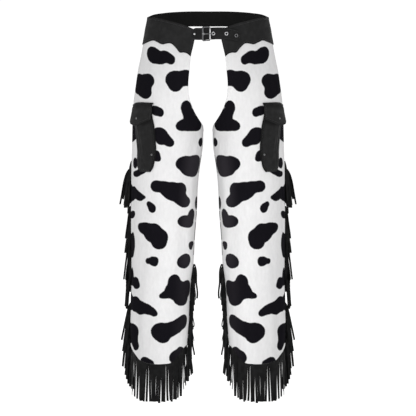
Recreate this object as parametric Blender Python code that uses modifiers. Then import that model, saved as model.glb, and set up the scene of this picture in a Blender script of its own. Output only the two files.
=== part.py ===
"""Fringed riding chaps, hollow as worn: +Z up, front towards -Y, metres.

The origin is the centre of the waist ring, at the height of the belt. Each leg is
worked out once for the -X side and mirrored. A point on a leg is named by its
angle (0 outer side, 90 front, 180 inner side, 270 back) and its height z.
"""

import math
import random

import bmesh
import bpy
import numpy as np
from mathutils import Matrix, Vector

UP = np.array((0.0, 0.0, 1.0))

# Steps along a surface given by two shares
EDGE_SHARE = 0.008
SHARE_STEP = 0.02
FINE_GRID = 121

# Walls and gaps
PLUSH = 0.0022
LEATHER = 0.0016
GAP = 0.0003
LAID_GAP = 0.0006

# Seams, as angles round a leg
OUTER_SEAM = -14.0
INNER_SEAM = 172.0
CROTCH_Z = -0.250
YOKE_BACK_END = -40.0
SEAM_HALF_GAP = 0.12
BAND_HALF_GAP = 0.15
BEHIND_SPAN = 90.0
YOKE_TOP_SPAN = 90.5

# Sections of the -X leg, widest at the side
SECTION_COLUMNS = ("z", "outer_x", "centre_x", "front", "back")
SECTIONS = (
    (-0.900, -0.2030, -0.1295, 0.078, 0.082),
    (-0.830, -0.2030, -0.1285, 0.079, 0.083),
    (-0.788, -0.2044, -0.1276, 0.080, 0.084),
    (-0.735, -0.2036, -0.1258, 0.081, 0.085),
    (-0.682, -0.2020, -0.1242, 0.083, 0.087),
    (-0.614, -0.2017, -0.1200, 0.086, 0.090),
    (-0.553, -0.2025, -0.1188, 0.088, 0.092),
    (-0.469, -0.2028, -0.1158, 0.091, 0.095),
    (-0.419, -0.2022, -0.1145, 0.093, 0.097),
    (-0.375, -0.2020, -0.1127, 0.095, 0.099),
    (-0.297, -0.2001, -0.1065, 0.098, 0.102),
    (-0.246, -0.1991, -0.1050, 0.100, 0.104),
    (-0.213, -0.1980, -0.1010, 0.102, 0.105),
    (-0.184, -0.1958, -0.0950, 0.104, 0.107),
    (-0.143, -0.1902, -0.0820, 0.107, 0.110),
    (-0.106, -0.1848, -0.0620, 0.109, 0.112),
    (-0.066, -0.1765, -0.0320, 0.110, 0.113),
    (-0.035, -0.1708, -0.0120, 0.110, 0.112),
    (-0.005, -0.1656, 0.0000, 0.110, 0.110),
    (0.000, -0.1646, 0.0000, 0.110, 0.110),
    (0.045, -0.1560, 0.0000, 0.108, 0.108),
)

# Open front edge of the seat: x of the cloth's edge at each height
OPEN_EDGE_COLUMNS = ("z", "x")
OPEN_EDGE = (
    (-0.256, -0.0105),
    (-0.250, -0.0122),
    (-0.243, -0.0163),
    (-0.229, -0.0242),
    (-0.208, -0.0358),
    (-0.192, -0.0421),
    (-0.174, -0.0479),
    (-0.136, -0.0515),
    (-0.099, -0.0489),
    (-0.059, -0.0448),
    (-0.028, -0.0375),
    (-0.0145, -0.0348),
    (0.012, -0.0368),
)

# Heights at which the rows of both panels meet the inner seam, and those of the open edge above
SEAM_LEVELS = (
    -0.252, -0.262, -0.275, -0.290, -0.310, -0.340, -0.385, -0.430,
    -0.480, -0.530, -0.580, -0.630, -0.680, -0.730, -0.780, -0.830,
)
OPEN_LEVELS = (-0.046, -0.070, -0.096, -0.122, -0.148, -0.174, -0.198, -0.218, -0.236)

# Long soft folds of the plush: depth is out of the leg, below 0 into it
FOLD_COLUMNS = ("angle", "half_angle", "z", "half_height", "depth")
FOLDS = (
    (38, 10, -0.790, 0.080, -0.0032),
    (60, 13, -0.700, 0.150, 0.0020),
    (18, 10, -0.470, 0.080, -0.0030),
    (128, 11, -0.560, 0.090, -0.0028),
    (142, 9, -0.400, 0.090, 0.0018),
    (138, 10, -0.300, 0.060, -0.0026),
    (100, 16, -0.790, 0.070, 0.0016),
    (25, 12, -0.110, 0.050, -0.0026),
    (205, 14, -0.440, 0.100, -0.0032),
    (235, 13, -0.600, 0.140, 0.0022),
    (262, 12, -0.480, 0.120, -0.0030),
    (292, 13, -0.720, 0.100, -0.0030),
    (312, 12, -0.380, 0.120, 0.0022),
)

# Lower edge of the front panel
HEM_COLUMNS = ("angle", "z")
FRONT_HEM = (
    (-14, -0.829),
    (0, -0.830),
    (26, -0.847),
    (43, -0.8625),
    (60, -0.8705),
    (77, -0.8735),
    (100, -0.8735),
    (117, -0.8700),
    (130, -0.8570),
    (147, -0.8370),
    (158, -0.8300),
    (172, -0.8290),
)
BACK_HEM_Z = -0.830

# Upper edge of the back panel
BACK_TOP_COLUMNS = ("angle", "z")
BACK_TOP = (
    (172, -0.252),
    (184, -0.263),
    (215, -0.264),
    (245, -0.252),
    (270, -0.228),
    (300, -0.175),
    (320, -0.118),
    (336, -0.062),
    (346, -0.030),
)

# Yoke edges
YOKE_TOP_COLUMNS = ("angle", "z")
YOKE_TOP = (
    (-40, 0.0416),
    (-28, 0.0398),
    (-20, 0.0376),
    (-12, 0.0354),
    (0, 0.0348),
    (19, 0.0360),
    (39, 0.0350),
    (48, 0.0315),
    (59, 0.0263),
    (68, 0.0197),
    (77, 0.0100),
)
YOKE_LOW_COLUMNS = ("angle", "z")
YOKE_LOW = (
    (-40, 0.0030),
    (-28, -0.0155),
    (-14, -0.0340),
    (-7, -0.0357),
    (0, -0.0362),
    (7, -0.0350),
    (13.5, -0.0318),
    (19.8, -0.0286),
    (26.5, -0.0246),
    (32.8, -0.0216),
    (38.9, -0.0250),
    (47.6, -0.0305),
    (52.6, -0.0276),
    (56.6, -0.0275),
    (60.3, -0.0326),
    (64.9, -0.0410),
    (69.8, -0.0504),
    (74.0, -0.0506),
    (77.4, -0.0524),
    (84.5, -0.0604),
)
UNDER_YOKE = 0.012

# Back band, round the back from one yoke to the other
BAND_COLUMNS = ("angle", "top", "low")
BAND = (
    (-90, 0.0444, 0.0054),
    (-70, 0.0446, 0.0056),
    (-52, 0.0434, 0.0048),
    (-40, 0.0416, 0.0030),
)

# Pocket: its side edges as angles, and how far it stands out
POCKET_COLUMNS = ("z", "left_angle", "right_angle", "swell")
POCKET = (
    (-0.3665, 43.0, 64.5, 0.0000),
    (-0.3600, 39.0, 67.5, 0.0016),
    (-0.3400, 35.0, 70.8, 0.0030),
    (-0.3160, 34.5, 72.2, 0.0034),
    (-0.2840, 30.5, 70.6, 0.0034),
    (-0.2448, 26.0, 67.6, 0.0030),
    (-0.2195, 24.0, 63.0, 0.0026),
    (-0.1990, 23.0, 60.0, 0.0010),
)

# Pocket flap: edges as angles, how far each row bows up and how far it points down between
# its ends, how far it stands out and how far its outer corner lifts
FLAP_COLUMNS = (
    "share", "left_angle", "right_angle", "left_z", "right_z", "bow", "point", "out", "lift",
)
FLAP = (
    (0.00, 13.0, 61.5, -0.1935, -0.1840, 0.0048, 0.0000, 0.0000, 0.0000),
    (0.16, 9.0, 61.8, -0.2010, -0.1920, 0.0034, 0.0012, 0.0054, 0.0004),
    (0.50, 5.0, 63.0, -0.2170, -0.2074, 0.0008, 0.0058, 0.0056, 0.0016),
    (0.80, 2.0, 62.6, -0.2314, -0.2206, 0.0000, 0.0105, 0.0056, 0.0036),
    (1.00, 5.0, 61.8, -0.2388, -0.2272, 0.0000, 0.0134, 0.0056, 0.0052),
)
FLAP_CLIMB = 0.28
BOW_POWER = 0.6
POINT_POWER = 1.15
SNAP_X, SNAP_Z = -0.1886, -0.2263
RIVET_X, RIVET_Z = -0.1483, -0.3209
SNAP_RADIUS = 0.0027
RIVET_RADIUS = 0.0025
STUD_HEIGHT = 0.0016

# Belt
STRAP_HALF = 0.0153
STRAP_LEFT, STRAP_RIGHT = -0.0250, 0.0840
TAB_LEFT, TAB_RIGHT = -0.0395, -0.0115
TAB_RIVET_X = -0.0348
TAB_RISE_X, TAB_RISE = -0.0312, 0.0042
END_ROUNDING = 0.45
STRAP_ROUNDS = (0.004, 0.010)
TAB_ROUNDS = (0.008, 0.001)
FIRST_COLUMN = 0.004
YOKE_FACE = LAID_GAP + LEATHER
STRAP_OUT = YOKE_FACE + LAID_GAP
TAB_OVER = STRAP_OUT + LEATHER + GAP
STRAP_DROP_COLUMNS = ("x", "z")
STRAP_DROP = (
    (-0.040, -0.0014),
    (-0.025, -0.0014),
    (0.005, -0.0006),
    (0.030, 0.0000),
    (0.048, -0.0008),
    (0.073, -0.0062),
    (0.084, -0.0092),
)
EYELETS = (0.0137, 0.0476, 0.0731)
EYELET_RADIUS = 0.0040
EYELET_WIRE = 0.0010
HINGE_X, BAR_X = -0.0137, 0.0054
FRAME_HALF = 0.0175
FRAME_WIRE = 0.0017
FRAME_CORNER = 0.0032
FRAME_CLEAR = 0.0005
PRONG_TAIL = 0.0024
PRONG_TIP_X = 0.0090
PRONG_BUTT, PRONG_TIP = 0.0014, 0.0009

# Fringe: roots along the outer seam, hem and inner seam
STRAND = 0.0066
STRAND_PITCH = 0.0086
STRAND_THICK = 0.0011
HEM_STRIP = 0.0070
SEAM_STRIP = 0.0036
SEAM_ROOT = 0.0040
STRIP_INSET = 0.0004
HEM_GAP = 0.0011
MOST_TWIST = 50.0
MOST_LEAN = 0.006
TIP_SHORT, TIP_LONG = 0.0040, 0.0015
TIP_SPREAD = 0.0010
SHORTEST, LONGEST = 0.95, 1.04
TIP_WIDTH = 0.94
HEM_STEPS = ((0.30, 0.75), (1.0, 1.0))

# Seam fringe hangs in ranks side by side; a strand clears the one below it in its rank
RANKS = 3
RANK_PITCH = 0.0066
RANK_CLEAR = 0.0015
BEND_OUT, BEND_DROP = 0.0020, 0.0100
BEND_WIDE, BEND_DEEP, BEND_TURN = 0.0018, 0.0034, 50.0
TIP_DEEP, TIP_TURN = 0.0054, 84.0
FRINGE_COLUMNS = ("z", "tip_out", "length")
OUTER_FRINGE = (
    (-0.836, 0.011, 0.098),
    (-0.790, 0.019, 0.108),
    (-0.750, 0.022, 0.114),
    (-0.690, 0.027, 0.114),
    (-0.650, 0.019, 0.112),
    (-0.600, 0.018, 0.114),
    (-0.550, 0.019, 0.116),
    (-0.505, 0.013, 0.112),
    (-0.470, 0.017, 0.114),
    (-0.430, 0.013, 0.112),
    (-0.385, 0.011, 0.110),
    (-0.368, 0.020, 0.112),
    (-0.345, 0.034, 0.112),
)
INNER_FRINGE = (
    (-0.836, 0.015, 0.084),
    (-0.760, 0.012, 0.092),
    (-0.660, 0.010, 0.094),
    (-0.614, 0.012, 0.094),
)
HEM_FRINGE_COLUMNS = ("angle", "tip_z")
HEM_FRINGE = (
    (-12, -0.930),
    (10, -0.938),
    (26, -0.957),
    (43, -0.968),
    (60, -0.9735),
    (85, -0.9760),
    (110, -0.9740),
    (125, -0.9660),
    (138, -0.9540),
    (154, -0.9340),
    (171, -0.9220),
)


def columns_of(names, rows):
    """A table as {name: array}, its first column rising."""
    table = np.array(sorted(rows), float)
    return {name: table[:, i] for i, name in enumerate(names)}


def smooth(at, table, first, name):
    """A cubic through one column of a table, held level past its ends."""
    xs = table[first]
    ys = table[name]
    slopes = np.gradient(ys, xs)
    at = np.clip(np.asarray(at, float), xs[0], xs[-1])
    i = np.clip(np.searchsorted(xs, at) - 1, 0, len(xs) - 2)
    step = xs[i + 1] - xs[i]
    t = (at - xs[i]) / step
    low = (2 * t**3 - 3 * t**2 + 1) * ys[i] + (t**3 - 2 * t**2 + t) * step * slopes[i]
    high = (3 * t**2 - 2 * t**3) * ys[i + 1] + (t**3 - t**2) * step * slopes[i + 1]
    return low + high


section_table = columns_of(SECTION_COLUMNS, SECTIONS)
edge_table = columns_of(OPEN_EDGE_COLUMNS, OPEN_EDGE)
hem_table = columns_of(HEM_COLUMNS, FRONT_HEM)
back_top_table = columns_of(BACK_TOP_COLUMNS, BACK_TOP)
yoke_top_table = columns_of(YOKE_TOP_COLUMNS, YOKE_TOP)
yoke_low_table = columns_of(YOKE_LOW_COLUMNS, YOKE_LOW)
band_table = columns_of(BAND_COLUMNS, BAND)
pocket_table = columns_of(POCKET_COLUMNS, POCKET)
flap_table = columns_of(FLAP_COLUMNS, FLAP)
drop_table = columns_of(STRAP_DROP_COLUMNS, STRAP_DROP)
hem_fringe_table = columns_of(HEM_FRINGE_COLUMNS, HEM_FRINGE)


def leg_base(angle, z):
    """The leg's ellipse at each height, front and back halves of unlike depth."""
    centre = smooth(z, section_table, "z", "centre_x")
    half = centre - smooth(z, section_table, "z", "outer_x")
    front = smooth(z, section_table, "z", "front")
    back = smooth(z, section_table, "z", "back")
    turn = np.radians(angle)
    depth = np.where(np.sin(turn) > 0, front, back)
    return np.stack([centre - half * np.cos(turn), -depth * np.sin(turn), z + 0 * turn], axis=-1)


def leg_normal(angle, z):
    """Outward normal of the leg's surface."""
    across = leg_base(angle + 0.5, z) - leg_base(angle - 0.5, z)
    up = leg_base(angle, z + 0.002) - leg_base(angle, z - 0.002)
    normal = np.cross(across, up)
    return normal / np.linalg.norm(normal, axis=-1, keepdims=True)


def fold_depth(angle, z):
    """Sum of the folds, each a long soft mound or trough."""
    total = 0 * (angle + z)
    for row in FOLDS:
        fold = dict(zip(FOLD_COLUMNS, row))
        turn = (angle - fold["angle"] + 180) % 360 - 180
        climb = z - fold["z"]
        bell = np.exp(-((turn / fold["half_angle"]) ** 2) - (climb / fold["half_height"]) ** 2)
        total = total + fold["depth"] * bell
    return total


def leg_points(angle, z, out=0.0):
    """Points on the plush's outer face, moved out by a distance."""
    angle, z, out = np.broadcast_arrays(*(np.asarray(a, float) for a in (angle, z, out)))
    away = (out + fold_depth(angle, z))[..., None]
    return leg_base(angle, z) + leg_normal(angle, z) * away


def front_end(z):
    """Angle of the front panel's inner edge: the open edge above the crotch, the inner seam below."""
    x = smooth(z, edge_table, "z", "x")
    centre = smooth(z, section_table, "z", "centre_x")
    half = centre - smooth(z, section_table, "z", "outer_x")
    edge = np.degrees(np.arccos(np.clip((centre - x) / half, -1, 1)))
    return np.where(z < CROTCH_Z, INNER_SEAM, np.minimum(edge, INNER_SEAM)) - SEAM_HALF_GAP


def front_angle(share, z):
    """Angle at a share of the front panel's width: 0 outer seam, 1 inner edge, below 0 behind."""
    start = OUTER_SEAM + SEAM_HALF_GAP
    forward = start + share * (front_end(z) - start)
    behind = start + share * BEHIND_SPAN
    return np.where(share < 0, behind, forward)


def material(name, colour, roughness, metallic=0.0):
    made = bpy.data.materials.new(name)
    made.use_nodes = True
    shader = made.node_tree.nodes["Principled BSDF"]
    shader.inputs["Base Color"].default_value = (*colour, 1.0)
    shader.inputs["Roughness"].default_value = roughness
    shader.inputs["Metallic"].default_value = metallic
    return made


def new_object(name, mesh, colour, roughness, metallic=0.0):
    made = bpy.data.objects.new(name, mesh)
    parts.objects.link(made)
    mesh.materials.append(material(name, colour, roughness, metallic))
    return made


PLUSH_LOOK = ((0.82, 0.82, 0.81), 0.95)
LEATHER_LOOK = ((0.022, 0.022, 0.023), 0.5)
METAL_LOOK = ((0.62, 0.63, 0.65), 0.28, 1.0)


def wall(name, points, side, thickness, look):
    """A sheet from a grid of its outer face's points, thickened inwards."""
    rows, columns = points.shape[:2]
    flat = points.reshape(-1, 3).copy()
    flat[:, 0] *= side
    faces = []
    for r in range(rows - 1):
        for c in range(columns - 1):
            a = r * columns + c
            quad = (a, a + columns, a + columns + 1, a + 1)
            faces.append(quad if side > 0 else quad[::-1])
    mesh = bpy.data.meshes.new(name)
    mesh.from_pydata(flat.tolist(), [], faces)
    mesh.shade_smooth()
    made = new_object(name, mesh, *look)
    shell = made.modifiers.new("thickness", "SOLIDIFY")
    shell.thickness = thickness
    shell.offset = -1.0
    shell.use_even_offset = True
    return made


def panel_shares(columns):
    """Shares across a panel, with a narrow first and last column so that its seam edges stand square."""
    inner = np.linspace(0, 1, columns)[1:-1]
    return np.concatenate([[0, EDGE_SHARE], inner, [1 - EDGE_SHARE, 1]])


def scallop_shares():
    """Share of the front's width, and height, of each point of the yoke's lower edge before the seam."""
    ahead = yoke_low_table["angle"] > OUTER_SEAM
    z = yoke_low_table["z"][ahead]
    start = OUTER_SEAM + SEAM_HALF_GAP
    share = (yoke_low_table["angle"][ahead] - start) / (front_end(z) - start)
    share[-1] = 1.0
    return share, z


def front_panel(name, side):
    """From under the yoke to the hem, outer seam to open edge and inner seam."""
    share = panel_shares(16)
    top = np.interp(share, *scallop_shares()) + UNDER_YOKE
    hem = smooth(OUTER_SEAM + share * (INNER_SEAM - OUTER_SEAM), hem_table, "angle", "z")
    levels = np.array(OPEN_LEVELS + SEAM_LEVELS)[:, None]
    z = top + (hem - top) * (levels - levels[0]) / (levels[-1] - levels[0])
    angle = front_angle(share + 0 * z, z)
    return wall(name, leg_points(angle, z), side, PLUSH, PLUSH_LOOK)


def back_panel(name, side):
    """From the inner seam round the back to the outer seam, its top edge rising outwards."""
    share = panel_shares(16)
    last = 360 + OUTER_SEAM - SEAM_HALF_GAP
    first = INNER_SEAM + SEAM_HALF_GAP
    angle = first + (last - first) * share
    top = smooth(angle, back_top_table, "angle", "z")
    levels = np.array(SEAM_LEVELS)[:, None]
    z = top + (BACK_HEM_Z - top) * (levels - levels[0]) / (levels[-1] - levels[0])
    return wall(name, leg_points(angle + 0 * z, z), side, PLUSH, PLUSH_LOOK)


def yoke(name, side):
    """Laid over the front panel's top, round the side to the back band."""
    scallops, scallop_z = scallop_shares()
    seam_z = smooth(OUTER_SEAM, yoke_low_table, "angle", "z")
    behind = np.linspace((YOKE_BACK_END - OUTER_SEAM) / BEHIND_SPAN, 0, 4)[:-1]
    behind_z = smooth(OUTER_SEAM + behind * BEHIND_SPAN, yoke_low_table, "angle", "z")
    share = np.concatenate([behind, [0, EDGE_SHARE], scallops])
    low = np.concatenate([behind_z, [seam_z, seam_z], scallop_z])
    top = smooth(OUTER_SEAM + share * YOKE_TOP_SPAN, yoke_top_table, "angle", "z")
    down = np.linspace(0, 1, 5)[:, None]
    z = top + (low - top) * down
    angle = front_angle(share + 0 * z, z)
    return wall(name, leg_points(angle, z, YOKE_FACE), side, LEATHER, LEATHER_LOOK)


def back_band(name):
    """Round the back, butted against both yokes."""
    last = YOKE_BACK_END - BAND_HALF_GAP
    angle = np.linspace(-180 - last, last, 19)
    nearer = np.where(angle < -90, -180 - angle, angle)
    top = smooth(nearer, band_table, "angle", "top")
    low = smooth(nearer, band_table, "angle", "low")
    down = np.linspace(0, 1, 3)[:, None]
    z = top + (low - top) * down
    return wall(name, leg_points(angle + 0 * z, z, YOKE_FACE), 1, LEATHER, LEATHER_LOOK)


def pocket_points(across, down, out=0.0):
    """The pocket's outer face, domed between its stitched edges."""
    z = pocket_table["z"][-1] + (pocket_table["z"][0] - pocket_table["z"][-1]) * down
    left = smooth(z, pocket_table, "z", "left_angle")
    right = smooth(z, pocket_table, "z", "right_angle")
    swell = smooth(z, pocket_table, "z", "swell") * (1 - np.abs(2 * across - 1) ** 3)
    return leg_points(left + (right - left) * across, z, YOKE_FACE + swell + out)


def flap_points(across, down, out=0.0):
    """The flap's outer face: flat at its seam, then over the pocket, its outer corner lifted.

    Each row bows up as a sine between its ends, and comes down to a blunt point midway.
    """
    left = smooth(down, flap_table, "share", "left_angle")
    right = smooth(down, flap_table, "share", "right_angle")
    left_z = smooth(down, flap_table, "share", "left_z")
    right_z = smooth(down, flap_table, "share", "right_z")
    bow = smooth(down, flap_table, "share", "bow") * np.sin(math.pi * across**BOW_POWER)
    point = smooth(down, flap_table, "share", "point") * (1 - np.abs(2 * across - 1) ** POINT_POWER)
    z = left_z + (right_z - left_z) * across + bow - point
    climb = np.clip(across / FLAP_CLIMB, 0, 1)
    raised = smooth(down, flap_table, "share", "out") * climb * climb * (3 - 2 * climb)
    lift = smooth(down, flap_table, "share", "lift") * (1 - across) ** 2
    return leg_points(left + (right - left) * across, z, YOKE_FACE + raised + lift + out)


def grid(rows, columns):
    return np.meshgrid(np.linspace(0, 1, columns), np.linspace(0, 1, rows))


def stud(name, face, away, side, radius):
    """A low domed stud standing on a face, its axis along the face's normal."""
    axis = Vector(away).normalized()
    centre = Vector(face) + axis * (GAP + STUD_HEIGHT / 2)
    centre.x *= side
    axis.x *= side
    body = bmesh.new()
    turn = axis.to_track_quat("Z", "Y").to_matrix().to_4x4()
    bmesh.ops.create_cone(
        body,
        cap_ends=True,
        segments=10,
        radius1=radius,
        radius2=radius * 0.6,
        depth=STUD_HEIGHT,
        matrix=Matrix.Translation(centre) @ turn,
    )
    mesh = bpy.data.meshes.new(name)
    body.to_mesh(mesh)
    body.free()
    return new_object(name, mesh, *METAL_LOOK)


def face_of(points, across, down):
    """Point and outward normal of a surface given by a function of two shares."""
    here = points(across, down)
    sideways = points(across + SHARE_STEP, down) - points(across - SHARE_STEP, down)
    downwards = points(across, down + SHARE_STEP) - points(across, down - SHARE_STEP)
    return here, np.cross(downwards, sideways)


def share_of(points, x, z):
    """The two shares at which a surface comes nearest a place given by x and height."""
    across, down = grid(FINE_GRID, FINE_GRID)
    made = points(across, down)
    best = np.argmin(np.hypot(made[..., 0] - x, made[..., 2] - z))
    return across.flat[best], down.flat[best]


def belt_points(x, z, out):
    """Points on the belt's line round the front, moved out from the yokes' inner face."""
    centre = -smooth(z, section_table, "z", "centre_x")
    half = -smooth(z, section_table, "z", "outer_x") - centre
    front = smooth(z, section_table, "z", "front")
    cosine = np.clip((np.abs(x) - centre) / half, 0.0, 1)
    sine = np.sqrt(1 - cosine**2)
    normal = np.stack([np.sign(x) * cosine / half, -sine / front, 0 * x], axis=-1)
    normal = normal / np.linalg.norm(normal, axis=-1, keepdims=True)
    return np.stack([x, -front * sine, z], axis=-1) + normal * out[..., None]


def strap_outline(x, left_round, right_round, left, right):
    """Half height of a strap along x, its ends rounded off."""
    from_left = np.clip((left_round - (x - left)) / left_round, 0, 1)
    from_right = np.clip((right_round - (right - x)) / right_round, 0, 1)
    return STRAP_HALF - END_ROUNDING * STRAP_HALF * (from_left**2 + from_right**2)


def belt_piece(name, left, right, columns, out, left_round, right_round):
    """A strap along x, on the belt's drooping line."""
    x = np.linspace(left, right, columns)
    x[1] = left + FIRST_COLUMN
    half = strap_outline(x, left_round, right_round, left, right)
    height = np.linspace(1, -1, 4)[:, None]
    z = smooth(x, drop_table, "x", "z") + half * height
    wide = x + 0 * z
    return wall(name, belt_points(wide, z, out(wide) + 0 * z), 1, LEATHER, LEATHER_LOOK)


def strap_out(x):
    return STRAP_OUT + LEATHER + 0 * x


def tab_out(x):
    """Flat on the yoke, then up over the strap's end."""
    climb = np.clip((x - TAB_RISE_X) / TAB_RISE, 0, 1)
    return strap_out(x) + (TAB_OVER - STRAP_OUT) * climb * climb * (3 - 2 * climb)


def on_belt(x, out):
    """Point and outward normal on the belt's face at x."""
    z = smooth(x, drop_table, "x", "z")
    here = belt_points(np.array(x), z, np.array(out))
    above = belt_points(np.array(x), z, np.array(out + 0.001))
    return Vector(here), Vector(above - here).normalized()


def eyelet(name, x):
    centre, axis = on_belt(x, STRAP_OUT + LEATHER + GAP + EYELET_WIRE)
    bpy.ops.mesh.primitive_torus_add(
        major_segments=14,
        minor_segments=6,
        major_radius=EYELET_RADIUS,
        minor_radius=EYELET_WIRE,
        location=centre,
        rotation=axis.to_track_quat("Z", "Y").to_euler(),
    )
    made = bpy.context.object
    made.name = name
    made.data.name = name
    made.data.materials.append(material(name, *METAL_LOOK))
    for collection in list(made.users_collection):
        collection.objects.unlink(made)
    parts.objects.link(made)
    return made


def frame_place():
    """Depth of the buckle's bars, just clear of the tab below them, and height of its middle."""
    face = belt_points(np.array(HINGE_X), np.array(0.0), np.array(TAB_OVER + LEATHER))
    middle = smooth((HINGE_X + BAR_X) / 2, drop_table, "x", "z")
    return float(face[1]) - FRAME_CLEAR - FRAME_WIRE, float(middle)


def buckle_frame(name):
    """A rectangular ring of wire with rounded corners."""
    wide = (BAR_X - HINGE_X) / 2
    middle = (BAR_X + HINGE_X) / 2
    depth, height = frame_place()
    line = bpy.data.curves.new(name, "CURVE")
    line.dimensions = "3D"
    line.bevel_depth = FRAME_WIRE
    line.bevel_resolution = 2
    spline = line.splines.new("POLY")
    points = []
    for corner in range(4):
        sign_x = (1, -1, -1, 1)[corner]
        sign_z = (1, 1, -1, -1)[corner]
        for step in range(4):
            turn = math.radians(90 * corner + 30 * step)
            x = middle + sign_x * (wide - FRAME_CORNER) + FRAME_CORNER * math.cos(turn)
            z = height + sign_z * (FRAME_HALF - FRAME_CORNER) + FRAME_CORNER * math.sin(turn)
            points.append((x, depth, z))
    spline.points.add(len(points) - 1)
    for point, place in zip(spline.points, points):
        point.co = (*place, 1.0)
    spline.use_cyclic_u = True
    made = bpy.data.objects.new(name, line)
    parts.objects.link(made)
    line.materials.append(material(name, *METAL_LOOK))
    return made


def buckle_prong(name):
    """A tapered pin lying across both bars."""
    start = HINGE_X - PRONG_TAIL
    reach = PRONG_TIP_X - start
    body = bmesh.new()
    depth, height = frame_place()
    y = depth - FRAME_WIRE - PRONG_BUTT - GAP
    middle = start + reach / 2
    bmesh.ops.create_cone(
        body,
        cap_ends=True,
        segments=8,
        radius1=PRONG_BUTT,
        radius2=PRONG_TIP,
        depth=reach,
        matrix=Matrix.Translation((middle, y, height)) @ Matrix.Rotation(math.radians(90), 4, "Y"),
    )
    mesh = bpy.data.meshes.new(name)
    body.to_mesh(mesh)
    body.free()
    return new_object(name, mesh, *METAL_LOOK)


def comb(name, inner, outer, thick, strands, side, look):
    """A narrow strip with strands grown from its outer edge, in one closed body.

    inner, outer and thick hold two stations a strand (where it starts and ends along
    the strip). strands holds each one's further sections as four corners.
    """
    body = bmesh.new()
    mirror = np.array([side, 1.0, 1.0])
    stations = []
    for edge, rim, half in zip(inner, outer, thick):
        corners = (edge - half, rim - half, rim + half, edge + half)
        stations.append([body.verts.new(corner * mirror) for corner in corners])
    for i in range(len(stations) - 1):
        a, b = stations[i], stations[i + 1]
        body.faces.new((a[0], b[0], b[1], a[1]))
        body.faces.new((a[3], a[2], b[2], b[3]))
        body.faces.new((a[0], a[3], b[3], b[0]))
        if i % 2:
            body.faces.new((a[1], b[1], b[2], a[2]))
            continue
        ring = [a[1], a[2], b[2], b[1]]
        for section in strands[i // 2]:
            following = [body.verts.new(corner * mirror) for corner in section]
            for k in range(4):
                corners = (ring[k], ring[(k + 1) % 4], following[(k + 1) % 4], following[k])
                # both wide faces are cut along the same diagonal, so a twist keeps its thickness
                for cut in ((0, 1, 3), (1, 2, 3)) if k == 3 else ((0, 1, 2), (0, 2, 3)):
                    body.faces.new([corners[c] for c in cut])
            ring = following
        body.faces.new(ring)
    body.faces.new(stations[0])
    body.faces.new(stations[-1])
    bmesh.ops.recalc_face_normals(body, faces=body.faces)
    mesh = bpy.data.meshes.new(name)
    body.to_mesh(mesh)
    body.free()
    return new_object(name, mesh, *look)


def clear_tip(bend, tip, lower_bend, lower_tip):
    """Least reach of a strand's tip that clears the strand below it, each given as (reach, z)."""
    drop = bend[1] - tip[1]
    at_bend = bend[0] + (lower_bend[0] + RANK_CLEAR - bend[0]) * drop / (bend[1] - lower_bend[1])
    share = (lower_bend[1] - tip[1]) / (lower_bend[1] - lower_tip[1])
    at_tip = lower_bend[0] + (lower_tip[0] - lower_bend[0]) * share + RANK_CLEAR
    return max(at_bend, at_tip)


def seam_section(centre, away, along, turn, wide, deep):
    """Four corners of a strand: wide across its face's lean, deep along the leg."""
    lean = math.radians(turn)
    upper = (away * math.sin(lean) + UP * math.cos(lean)) * wide / 2
    sideways = along * deep / 2
    return (
        centre - upper - sideways,
        centre - upper + sideways,
        centre + upper + sideways,
        centre + upper - sideways,
    )


def seam_fringe(name, seam, table, side, seed):
    """Fringe in an upright seam: strands leave the strip sideways, turn down and hang in ranks."""
    draw = random.Random(seed)
    rows = columns_of(FRINGE_COLUMNS, table)
    low, high = rows["z"][0], rows["z"][-1]
    count = int((high - low) / STRAND_PITCH)
    away = leg_normal(np.array(seam), np.array((low + high) / 2)) * (1, 1, 0)
    away = away / np.linalg.norm(away)
    along = np.cross(away, UP)
    inner, outer, thick, strands = [], [], [], []
    below = {}
    for k in range(count):
        z = low + (k + 0.5) * (high - low) / count
        for edge in (z - SEAM_ROOT / 2, z + SEAM_ROOT / 2):
            foot = leg_points(seam, edge)
            inner.append(foot + away * STRIP_INSET)
            outer.append(foot + away * SEAM_STRIP)
            thick.append(along * STRAND_THICK / 2)
        rank = k % RANKS
        foot = leg_points(seam, z) + along * (rank - (RANKS - 1) / 2) * RANK_PITCH
        bend = foot + away * (SEAM_STRIP + BEND_OUT) - UP * BEND_DROP
        tip_out = smooth(z, rows, "z", "tip_out") + draw.uniform(-TIP_SPREAD, TIP_SPREAD)
        length = smooth(z, rows, "z", "length") * draw.uniform(SHORTEST, LONGEST)
        tip = foot + away * tip_out - UP * length
        bend_at = (away @ bend, bend[2])
        tip_at = (away @ tip, tip[2])
        if rank in below:
            short = clear_tip(bend_at, tip_at, *below[rank]) - tip_at[0]
            tip = tip + away * max(short, 0.0)
            tip_at = (away @ tip, tip[2])
        below[rank] = (bend_at, tip_at)
        strands.append(
            [
                seam_section(bend, away, along, BEND_TURN, BEND_WIDE, BEND_DEEP),
                seam_section(tip, away, along, TIP_TURN, STRAND_THICK, TIP_DEEP),
            ]
        )
    return comb(name, inner, outer, thick, strands, side, LEATHER_LOOK)


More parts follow.
